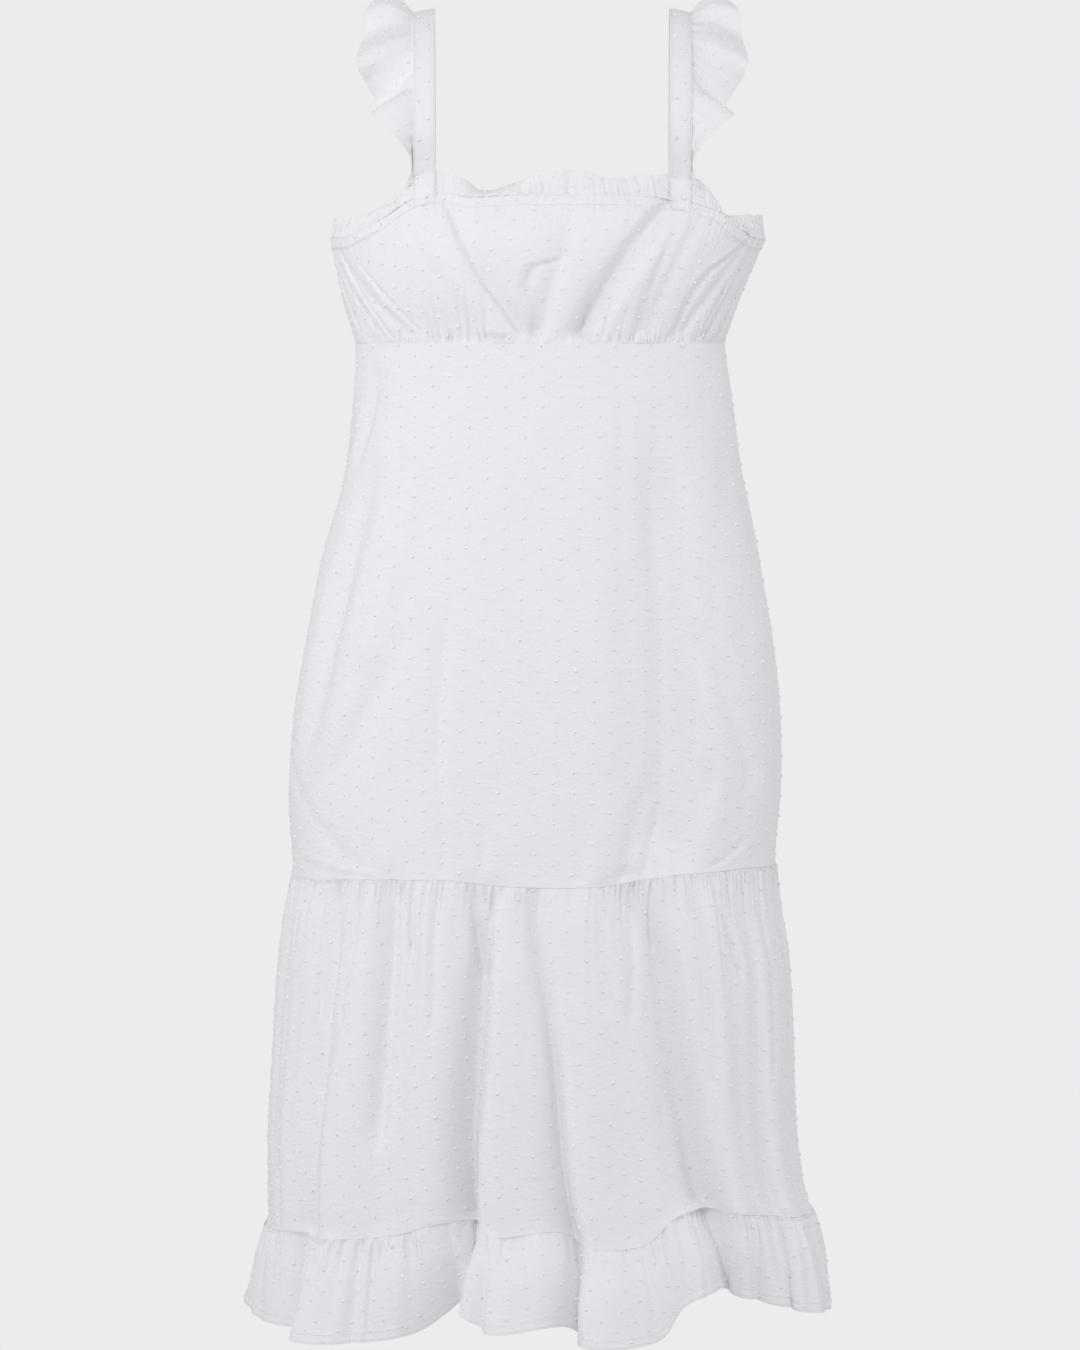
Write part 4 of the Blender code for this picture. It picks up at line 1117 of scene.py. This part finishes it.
def woven_cotton(name, colour, pitch):
    """Plain-woven cotton with slubs along both threads and a soft, matt face."""
    finish = Finish(name)
    across, down = finish.flat_cloth()
    turns = 2 * math.pi / pitch
    weave = (across * turns).sine() * (down * turns).sine()
    warp_slub = finish.noise(across, down, WARP_SLUBS)
    weft_slub = finish.noise(across, down, WEFT_SLUBS)
    mottle = finish.noise(across, down, MOTTLE, detail=3.0)
    uneven = (warp_slub + weft_slub) * 0.4 + mottle * 0.2
    dark, light = (shade(colour, by) for by in COTTON_SHADES)
    tint = finish.blend(uneven, dark, light)
    crinkle = finish.noise(across, down, CRINKLE, detail=3.0)
    fine = finish.bump(weave, strength=0.18, distance=pitch * 0.35)
    slubs = finish.bump(warp_slub + weft_slub, strength=0.30, distance=0.0004, normal=fine)
    crimped = finish.bump(crinkle, strength=0.50, distance=0.0012, normal=slubs)
    roughness = 0.88 + 0.08 * mottle
    finish.look({"Base Color": tint, "Normal": crimped, "Roughness": roughness})
    finish.look({"Specular IOR Level": 0.25, "Sheen Weight": 0.10, "Sheen Roughness": 0.5})
    return finish.material


def spun_thread(name, colour, grain):
    """Loose white thread: the tufts and the stitches."""
    finish = Finish(name)
    place = finish.node("ShaderNodeTexCoord", output=3)
    fibres = finish.node("ShaderNodeTexNoise", inputs={"Vector": place, "Scale": grain, "Detail": 2.0})
    dark, light = (shade(colour, by) for by in THREAD_SHADES)
    tint = finish.blend(fibres, dark, light)
    fuzz = finish.bump(fibres, strength=0.5, distance=0.0003)
    finish.look({"Base Color": tint, "Normal": fuzz, "Roughness": 0.92, "Specular IOR Level": 0.2})
    return finish.material


def material_for(kind):
    """The dress's materials, each made once."""
    if kind not in bpy.data.materials:
        cloth_settings = bpy.context.scene.dress_cloth
        if kind == "swiss_dot_cotton":
            woven_cotton(kind, cloth_settings.cotton, cloth_settings.thread_pitch)
        elif kind == "tuft_thread":
            spun_thread(kind, cloth_settings.tuft, TUFT_GRAIN)
        else:
            spun_thread(kind, cloth_settings.cotton, SEWING_GRAIN)
    return bpy.data.materials[kind]


# Surfaces of each piece


def bodice_grid(side):
    """A bodice panel, with the casing's two rows and the gathers of both its seams."""
    angles = half_turn(side, BODICE_SPACING.columns)
    seam = smooth_read(NECKLINE, "seam", turned(angles))
    shares = spaced(BODICE_SPACING)
    height = seam + (UNDERBUST - seam) * shares[:, None]
    below, above = seam - height, height - UNDERBUST
    out = crease_depth(BODICE_CREASES, angles, height) + wander(angles, height)
    out += gather_depth(UNDERBUST_TICKS, side, angles, above)
    out += gather_depth(UNDERBUST_RAYS, side, angles, above)
    beyond_casing = np.maximum(below - CASING_END, 0.0)
    out += gather_depth(CASING_CRIMPS, side, angles, beyond_casing)
    out *= eased_from(UNDERBUST_HOLD, above / UNDERBUST_REACH)
    aside = (np.abs(turned(angles)) - CASING_PLAIN_TO) / CASING_FULL_OVER
    at_sides = eased_from(CASING_PLAIN_SHARE, aside)
    out += CASING_HEIGHT * at_sides * (1 - eased((below - CASING_STEP) / 0.003))
    out -= GROOVE_DEPTH * at_sides * mound(below - CASING_GROOVE, GROOVE_REACH)
    out -= EDGE_DIP * mound(below, EDGE_REACH)
    return cloth(angles, height, out)


def neck_frill_grid(side):
    """The frill above the casing, which stands free where no strap is sewn over it."""
    angles = half_turn(side, NECK_FRILL_COLUMNS)
    ups = np.linspace(1.0, NECK_FRILL_FOOT, NECK_FRILL_ROWS)[:, None]
    seam = smooth_read(NECKLINE, "seam", turned(angles))
    rise = smooth_read(NECKLINE, "rise", turned(angles))
    lean = smooth_read(NECKLINE, "lean", turned(angles))
    place = cloth(angles, seam)
    x = place[:, 0]
    off_strap = np.abs(np.abs(x) - (STRAP_INNER + STRAP_WIDTH / 2)) - STRAP_WIDTH / 2
    free = eased_from(HELD_BY_STRAP, (off_strap - STRAP_CLEARANCE) / STRAP_RELEASE)
    away = np.broadcast_to(np.maximum(ups, 0.0) * rise, (len(ups), len(angles)))
    crimps = gather_depth(NECK_CRIMPS, side, angles, away)
    waves = gather_depth(NECK_WAVES, side, angles, np.maximum(WAVE_REACH - away, 0.0))
    inward = np.stack([-x, -place[:, 1]], axis=-1)
    inward /= np.linalg.norm(inward, axis=-1, keepdims=True)
    bend = lean * ups * np.abs(ups) - (crimps + WAVE_SHARE * waves * ups) * free
    bend = bend - ROOT_OUT * mound(away, ROOT_REACH) + ROOT_OUT
    grid = np.empty((len(ups), len(angles), 3))
    grid[..., :2] = place[:, :2] + inward * bend[..., None]
    ruffled = RIPPLE * np.sin(np.radians(angles) * 61 + 2 * np.sin(np.radians(angles) * 17))
    grid[..., 2] = place[:, 2] + rise * ups + ruffled * ups * free
    return grid


def skirt_grid(side):
    """A plain skirt panel, from the underbust seam down to the tier's seam."""
    angles = half_turn(side, SKIRT_SPACING.columns)
    shares = tucked(spaced(SKIRT_SPACING), TIER_SEAM - UNDERBUST)
    height = UNDERBUST + (TIER_SEAM - UNDERBUST) * shares
    below, above = UNDERBUST - height, height - TIER_SEAM
    out = crease_depth(SKIRT_CREASES, angles, height)
    out *= eased_from(FOOT_HOLD, above / FOOT_REACH)
    out = (out + wander(angles, height)) * eased((below + 0.002) / 0.02)
    out -= 0.0002 * mound(below, 0.0016)
    out += FOOT_LIP * mound(above, LIP_REACH)
    out[0] -= TUCK_IN
    grid = cloth(angles, height, out)
    grid[..., 2] += smooth_read(LIFTS, "tier", turned(angles)) * shares
    return grid


def tier_grid(side):
    """A tier panel, gathered into the seam above it and lifted into the one below."""
    angles = half_turn(side, TIER_SPACING.columns)
    length = TIER_SEAM - FRILL_SEAM
    shares = tucked(spaced(TIER_SPACING), -length)
    height = TIER_SEAM - length * shares
    below, above = TIER_SEAM - height, height - FRILL_SEAM
    out = crease_depth(LOWER_CREASES, angles, height)
    out += gather_depth(TIER_TICKS, side, angles, below)
    out += gather_depth(TIER_RAYS, side, angles, below)
    out += gather_depth(TIER_FLUTES, side, angles, above) * eased(below / 0.12)
    out *= eased_from(SEAM_HOLD, below / SEAM_REACH)
    out *= eased_from(FOOT_HOLD, above / FOOT_REACH)
    out += wander(angles, height)
    out += TIER_SWELL * eased(below / SWELL_START) * mound(below, SWELL_REACH)
    out -= SEAM_DIP * mound(below, DIP_REACH)
    out += FOOT_LIP * mound(above, LIP_REACH)
    out[0] -= TUCK_IN
    grid = cloth(angles, height, out)
    tier, frill = (smooth_read(LIFTS, name, turned(angles)) for name in ("tier", "frill"))
    grid[..., 2] += tier + (frill - tier) * shares
    return grid


def hem_frill_grid(side):
    """A panel of the hem's frill, with the gathers of its seam and a rolled hem."""
    angles = half_turn(side, HEM_FRILL_SPACING.columns)
    length = FRILL_SEAM - HEM
    shares = tucked(spaced(HEM_FRILL_SPACING), -length)
    height = FRILL_SEAM - length * shares
    below = FRILL_SEAM - height
    from_hem = length - below
    out = crease_depth(LOWER_CREASES, angles, height) + gather_depth(HEM_TICKS, side, angles, below)
    out += gather_depth(HEM_RAYS, side, angles, below)
    out += gather_depth(HEM_FLUTES, side, angles, from_hem) * eased(below / 0.060)
    out = out * eased_from(SEAM_HOLD, below / SEAM_REACH) + wander(angles, height)
    out += HEM_SWELL * eased(below / SWELL_START) * mound(below, SWELL_REACH)
    out -= SEAM_DIP * mound(below, DIP_REACH)
    out[0] -= TUCK_IN
    out += HEM_HEIGHT * (1 - eased((from_hem - HEM_STEP) / 0.002))
    out -= HEM_HEIGHT * mound(from_hem - HEM_GROOVE, 0.001)
    grid = cloth(angles, height, out)
    frill, hem = (smooth_read(LIFTS, name, turned(angles)) for name in ("frill", "hem"))
    grid[..., 2] += frill + (hem - frill) * shares
    return grid


def curve_through(points, count):
    """Evenly numbered points on a smooth curve through the given ones."""
    points = np.array(points)
    before = np.concatenate([points[:1], points[:-1]])
    after = np.concatenate([points[1:], points[-1:]])
    slopes = (after - before) / 2
    place = np.linspace(0.0, len(points) - 1, count + 1)
    k = np.minimum(place.astype(int), len(points) - 2)
    t = (place - k)[:, None]
    return (
        points[k] * ((1 + 2 * t) * (1 - t) ** 2)
        + slopes[k] * (t * (1 - t) ** 2)
        + points[k + 1] * (t * t * (3 - 2 * t))
        + slopes[k + 1] * (t * t * (t - 1))
    )


def sewn_on(x, side):
    """Points where a strap lies on the bodice and neck frill, from its end up to the edge."""
    outward = -1.0 if side == "front" else 1.0
    middle, half = ring_sizes(STRAP_READ_HEIGHT)
    share = (x - middle) / half
    angle = math.degrees(math.asin(float(signed_power(np.array(share), ROUNDNESS / 2))))
    if side == "back":
        angle = float(turned(180.0 - angle))
    seam = float(smooth_read(NECKLINE, "seam", angle))
    rise = float(smooth_read(NECKLINE, "rise", angle))
    panels = [bpy.data.objects[kind + side] for kind in ("bodice_cloth_", "neck_frill_cloth_")]
    points = []
    ups = np.linspace(-STRAP_END_BELOW_SEAM, rise - STRAP_CLEAR_OF_EDGE, STRAP_SEWN_ROWS)
    for above in np.insert(ups, 1, ups[0] + STRAP_END_ROW):
        rising = float(eased((above + STRAP_END_BELOW_SEAM) / STRAP_LIFT_OVER))
        lift = STRAP_LIFT * rising - STRAP_SINK
        start = Vector((x, outward, seam + above))
        found = []
        for obj in panels:
            hit, place, _, _ = obj.ray_cast(start, Vector((0, -outward, 0)), distance=1.0)
            if hit:
                found.append(place.y * outward)
        if not found:
            raise RuntimeError("a strap found no cloth to lie on")
        points.append((x, outward * (max(found) + lift), seam + above))
    return points


def splayed(x, way):
    """Straps stand slightly further apart the further back they run."""
    return x + math.copysign(STRAP_SPLAY * (way.depth - OVER_THE_SHOULDER[0].depth), x)


def strap_line(x):
    """A line along a strap, from its end in front over the shoulder to its end behind."""
    front, back = sewn_on(x, "front"), sewn_on(splayed(x, OVER_THE_SHOULDER[-1]), "back")
    top = STRAP_TOP - SHOULDER_SLOPE * (abs(x) - STRAP_INNER)
    over = [front[-1]]
    over += [(splayed(x, way), way.depth, way.height + top) for way in OVER_THE_SHOULDER]
    over.append(back[-1])
    return np.concatenate([front[:-1], curve_through(over, STRAP_ROWS), back[-2::-1]])


def strap_grid(side):
    """A strap, slightly crowned, with a stitched groove near both edges."""
    sign = -1 if side == "left" else 1
    half = np.array(STRAP_HALF)
    shares = np.concatenate([half, [0.5], 1 - half[::-1]])
    lines = np.stack([strap_line(sign * (STRAP_INNER + STRAP_WIDTH * s)) for s in shares], axis=0)
    grid = lines if side == "right" else lines[::-1]
    rows = np.linspace(0.0, 1.0, grid.shape[1])
    arch = np.sin(np.pi * shares)[:, None]
    groove = mound(np.minimum(shares, 1 - shares) - STRAP_GROOVE_AT, STRAP_GROOVE_REACH)[:, None]
    pucker = STRAP_PUCKER * np.sin(rows * 190.0 + 3 * np.sin(rows * 47.0))[None, :]
    lift = STRAP_CROWN * arch - STRAP_GROOVE * groove + pucker * arch
    if side == "left":
        lift = lift[::-1]
    return grid + surface_normals(grid) * lift[..., None]


def strap_frill_grid(side):
    """The frill along a strap's outer edge, which narrows to both ends."""
    sign = -1 if side == "left" else 1
    edge = strap_line(sign * (STRAP_INNER + STRAP_WIDTH))[8:-8]
    root = curve_through(edge[::4], STRAP_FRILL_ROWS)
    root[:, 0] -= sign * STRAP_FRILL_INSET
    alongs = np.linspace(0.0, 1.0, len(root))
    out, up, forward, bow = (
        smooth_read(STRAP_FRILL, name, alongs) for name in ("out", "up", "forward", "bow")
    )
    reach = np.stack([sign * out, -forward, up], axis=-1)
    shares = np.concatenate([[0.0, 0.02, 0.05], np.linspace(0.09, 1.0, 25)])[:, None]
    grid = root[None] + reach[None] * shares[..., None]
    grid[..., 2] += bow * np.sin(np.pi * shares)
    if side == "left":
        grid = grid[::-1]
        shares = shares[::-1]
    chance = np.random.default_rng(STRAP_FRILL_SEEDS[side])
    lift = np.zeros(grid.shape[:2])
    for i in range(STRAP_FRILL_GATHERS):
        jitter = chance.uniform(-STRAP_FRILL_JITTER, STRAP_FRILL_JITTER)
        centre = (i + 0.5 + jitter) / STRAP_FRILL_GATHERS
        width = chance.uniform(*STRAP_FRILL_WIDTHS)
        length = chance.uniform(*STRAP_FRILL_LENGTHS)
        depth = chance.uniform(*STRAP_FRILL_DEPTHS)
        lift -= depth * mound(alongs[None, :] - centre, width) * mound(shares, length)
    lift *= eased((shares + 0.01) / 0.06)
    return grid + surface_normals(grid) * lift[..., None]


# Operators


def make_panels(kind, grid_of, flats):
    """Makes and seats one kind of cloth panel for the front and the back."""
    for side, flat in flats.items():
        obj = cloth_object(f"{kind}_cloth_{side}", grid_of(side), material_for("swiss_dot_cotton"))
        seat(obj, f"{kind}_{side}")


class DRESS_OT_bodice(bpy.types.Operator):
    """Make the bodice's front and back, with their casing and gathers"""

    bl_idname = "dress.bodice"
    bl_label = "Bodice"

    def execute(self, context):
        flats = {"front": (0.56, 0.135), "back": (0.50, 0.10)}
        make_panels("bodice", bodice_grid, flats)
        return {"FINISHED"}


class DRESS_OT_neck_frill(bpy.types.Operator):
    """Make the frill that stands above the neckline"""

    bl_idname = "dress.neck_frill"
    bl_label = "Neck frill"

    def execute(self, context):
        flats = {"front": (0.62, 0.022), "back": (0.56, 0.022)}
        make_panels("neck_frill", neck_frill_grid, flats)
        return {"FINISHED"}


class DRESS_OT_skirt(bpy.types.Operator):
    """Make the plain skirt's front and back"""

    bl_idname = "dress.skirt"
    bl_label = "Skirt"

    def execute(self, context):
        flats = {"front": (0.56, 0.48), "back": (0.54, 0.48)}
        make_panels("skirt", skirt_grid, flats)
        return {"FINISHED"}


class DRESS_OT_tier(bpy.types.Operator):
    """Make the gathered tier below the skirt"""

    bl_idname = "dress.tier"
    bl_label = "Tier"

    def execute(self, context):
        flats = {"front": (0.86, 0.32), "back": (0.84, 0.32)}
        make_panels("tier", tier_grid, flats)
        return {"FINISHED"}


class DRESS_OT_hem_frill(bpy.types.Operator):
    """Make the gathered frill along the hem"""

    bl_idname = "dress.hem_frill"
    bl_label = "Hem frill"

    def execute(self, context):
        flats = {"front": (1.15, 0.09), "back": (1.15, 0.09)}
        make_panels("hem_frill", hem_frill_grid, flats)
        return {"FINISHED"}


class DRESS_OT_straps(bpy.types.Operator):
    """Make both shoulder straps, sewn over the neckline in front and behind"""

    bl_idname = "dress.straps"
    bl_label = "Straps"

    def execute(self, context):
        context.view_layer.update()
        for side in ("left", "right"):
            obj = cloth_object(f"strap_cloth_{side}", strap_grid(side), material_for("swiss_dot_cotton"))
            doubled = obj.modifiers.new("folded double", "SOLIDIFY")
            doubled.thickness = STRAP_THICKNESS
            doubled.offset = 0.0
            seat(obj, f"strap_{side}")
        return {"FINISHED"}


class DRESS_OT_strap_frills(bpy.types.Operator):
    """Make the frill along each strap's outer edge"""

    bl_idname = "dress.strap_frills"
    bl_label = "Strap frills"

    def execute(self, context):
        for side in ("left", "right"):
            grid = strap_frill_grid(side)
            obj = cloth_object(f"strap_frill_cloth_{side}", grid, material_for("swiss_dot_cotton"))
            seat(obj, f"strap_frill_{side}")
        return {"FINISHED"}


def cloth_grid(obj):
    """The grid of points of a cloth piece, whose rows are as long as its first edge run."""
    count = len(obj.data.vertices)
    points = np.empty(count * 3)
    obj.data.vertices.foreach_get("co", points)
    first = obj.data.polygons[0].vertices[:]
    columns = first[1] - first[0]
    return points.reshape(count // columns, columns, 3)


class DRESS_OT_tufts(bpy.types.Operator):
    """Scatter the woven tufts over every piece of cloth, in staggered columns"""

    bl_idname = "dress.tufts"
    bl_label = "Tufts"

    def execute(self, context):
        settings = context.scene.dress_cloth
        pieces = [obj for obj in context.scene.objects if "_cloth_" in obj.name]
        for number, obj in enumerate(sorted(pieces, key=lambda piece: piece.name)):
            on_strap = obj.name.startswith("strap_cloth")
            margin = STRAP_TUFT_MARGIN if on_strap else TUFT_MARGIN
            across, down = settings.tuft_across, settings.tuft_down
            if on_strap:
                across, down = down, across
            seed = PLACES_SEED + number
            places, outs = tuft_places(cloth_grid(obj), across, down, margin, seed)
            if not len(places):
                raise RuntimeError(f"no tufts fit on {obj.name}")
            if on_strap:
                places = places + outs * STRAP_TUFT_LIFT
            name = obj.name.replace("_cloth_", "_tufts_")
            width, height = settings.tuft_width, settings.tuft_height
            thread = material_for("tuft_thread")
            seat(tuft_object(name, places, outs, width, height, thread, SIZES_SEED + number))
        return {"FINISHED"}


class DRESS_OT_stitching(bpy.types.Operator):
    """Sew the casing, the straps and the hem with running stitches"""

    bl_idname = "dress.stitching"
    bl_label = "Stitching"

    def execute(self, context):
        pitch = context.scene.dress_cloth.stitch
        thread = material_for("sewing_thread")
        for side in ("front", "back"):
            for name, piece, downs in (
                ("casing", "bodice", CASING_STITCHES),
                ("hem", "hem_frill", HEM_STITCHES),
            ):
                panel = cloth_grid(bpy.data.objects[f"{piece}_cloth_{side}"])
                lines = [row_line(panel, down) for down in downs]
                seat(stitch_object(f"{name}_stitches_{side}", lines, pitch, thread))
        for side in ("left", "right"):
            strap = cloth_grid(bpy.data.objects["strap_cloth_" + side])
            lines = [row_line(strap, down, STRAP_STITCH_LIFT) for down in STRAP_STITCHES]
            seat(stitch_object("strap_stitches_" + side, lines, pitch, thread))
        return {"FINISHED"}


class DRESS_OT_studio(bpy.types.Operator):
    """Make the pale studio, its soft light and the camera"""

    bl_idname = "dress.studio"
    bl_label = "Studio"

    def execute(self, context):
        settings = context.scene.dress_studio
        self.paper_bowl(settings)
        self.room_light(context, settings)
        for lamp in LAMPS:
            self.soft_light(lamp, getattr(settings, lamp.power) * lamp.share)
        self.camera(context, settings)
        context.scene.view_settings.view_transform = "Standard"
        return {"FINISHED"}

    def paper_bowl(self, settings):
        """A round sweep of pale paper that is floor and backdrop on every side."""
        profile = [(0.0, FLOOR_HEIGHT), (FLOOR_RADIUS, FLOOR_HEIGHT)]
        for i in range(1, FOOT_ROWS + 1):
            turn = math.pi / 2 * i / FOOT_ROWS
            radius = FLOOR_RADIUS + FOOT_RADIUS * math.sin(turn)
            profile.append((radius, FLOOR_HEIGHT + FOOT_RADIUS * (1 - math.cos(turn))))
        profile += BOWL_DOME
        points, faces = [], []
        for i, (radius, height) in enumerate(profile):
            for k in range(BOWL_SIDES):
                turn = 2 * math.pi * k / BOWL_SIDES
                points.append((radius * math.cos(turn), radius * math.sin(turn), height))
                here, beside = i * BOWL_SIDES + k, i * BOWL_SIDES + (k + 1) % BOWL_SIDES
                if i < len(profile) - 1:
                    faces.append((here, here + BOWL_SIDES, beside + BOWL_SIDES, beside))
        finish = Finish("pale_paper")
        finish.look({"Base Color": (0.0, 0.0, 0.0, 1.0), "Specular IOR Level": 0.0})
        finish.look({"Roughness": 1.0, "Emission Strength": 1.0})
        finish.look({"Emission Color": (*settings.paper, 1.0)})
        obj = new_object("paper_bowl", points, faces, finish.material)
        obj.visible_diffuse = False
        obj.visible_glossy = False
        obj.visible_shadow = False

    def room_light(self, context, settings):
        """The even light of a white room."""
        world = bpy.data.worlds.new("white_room")
        world.use_nodes = True
        background = world.node_tree.nodes["Background"]
        background.inputs["Color"].default_value = ROOM_COLOUR
        background.inputs["Strength"].default_value = settings.room_light
        context.scene.world = world

    def soft_light(self, lamp, power):
        """A round soft light that faces the middle of the dress."""
        light = bpy.data.lights.new(lamp.name, "AREA")
        light.shape = "DISK"
        light.size = lamp.size
        light.energy = power
        obj = bpy.data.objects.new(lamp.name, light)
        obj.location = lamp.place
        obj.visible_camera = False
        direction = Vector(LIGHTS_AIM) - Vector(lamp.place)
        obj.rotation_euler = direction.to_track_quat("-Z", "Y").to_euler()
        bpy.context.scene.collection.objects.link(obj)

    def camera(self, context, settings):
        """Level with the underbust seam and tilted down to the middle of the dress."""
        camera = bpy.data.cameras.new("camera")
        camera.sensor_fit = "VERTICAL"
        camera.sensor_height = FRAME_HEIGHT
        camera.lens = settings.lens
        obj = bpy.data.objects.new("camera", camera)
        place = Vector((CAMERA_ACROSS, -settings.camera_distance, CAMERA_HEIGHT))
        obj.location = place
        direction = Vector(CAMERA_AIM) - place
        obj.rotation_euler = direction.to_track_quat("-Z", "Y").to_euler()
        context.scene.collection.objects.link(obj)
        context.scene.camera = obj


class DRESS_PT_sidebar(bpy.types.Panel):
    """The dress's settings and pieces"""

    bl_label = "Cotton Midi Dress"
    bl_space_type = "VIEW_3D"
    bl_region_type = "UI"
    bl_category = "Dress"

    def draw(self, context):
        for group in (context.scene.dress_cloth, context.scene.dress_studio):
            box = self.layout.box()
            for name in group.__annotations__:
                box.prop(group, name)
        for operator in OPERATORS:
            self.layout.operator(operator.bl_idname)


OPERATORS = (
    DRESS_OT_bodice,
    DRESS_OT_neck_frill,
    DRESS_OT_skirt,
    DRESS_OT_tier,
    DRESS_OT_hem_frill,
    DRESS_OT_straps,
    DRESS_OT_strap_frills,
    DRESS_OT_tufts,
    DRESS_OT_stitching,
    DRESS_OT_studio,
)
CLASSES = (ClothSettings, StudioSettings, *OPERATORS, DRESS_PT_sidebar)


def register():
    for cls in CLASSES:
        bpy.utils.register_class(cls)
    bpy.types.Scene.dress_cloth = bpy.props.PointerProperty(type=ClothSettings)
    bpy.types.Scene.dress_studio = bpy.props.PointerProperty(type=StudioSettings)


def unregister():
    del bpy.types.Scene.dress_studio
    del bpy.types.Scene.dress_cloth
    for cls in reversed(CLASSES):
        bpy.utils.unregister_class(cls)


def main():
    register()
    bpy.ops.dress.bodice()
    bpy.ops.dress.neck_frill()
    bpy.ops.dress.skirt()
    bpy.ops.dress.tier()
    bpy.ops.dress.hem_frill()
    bpy.ops.dress.straps()
    bpy.ops.dress.strap_frills()
    bpy.ops.dress.tufts()
    bpy.ops.dress.stitching()
    bpy.ops.dress.studio()


if __name__ == "__main__":
    main()
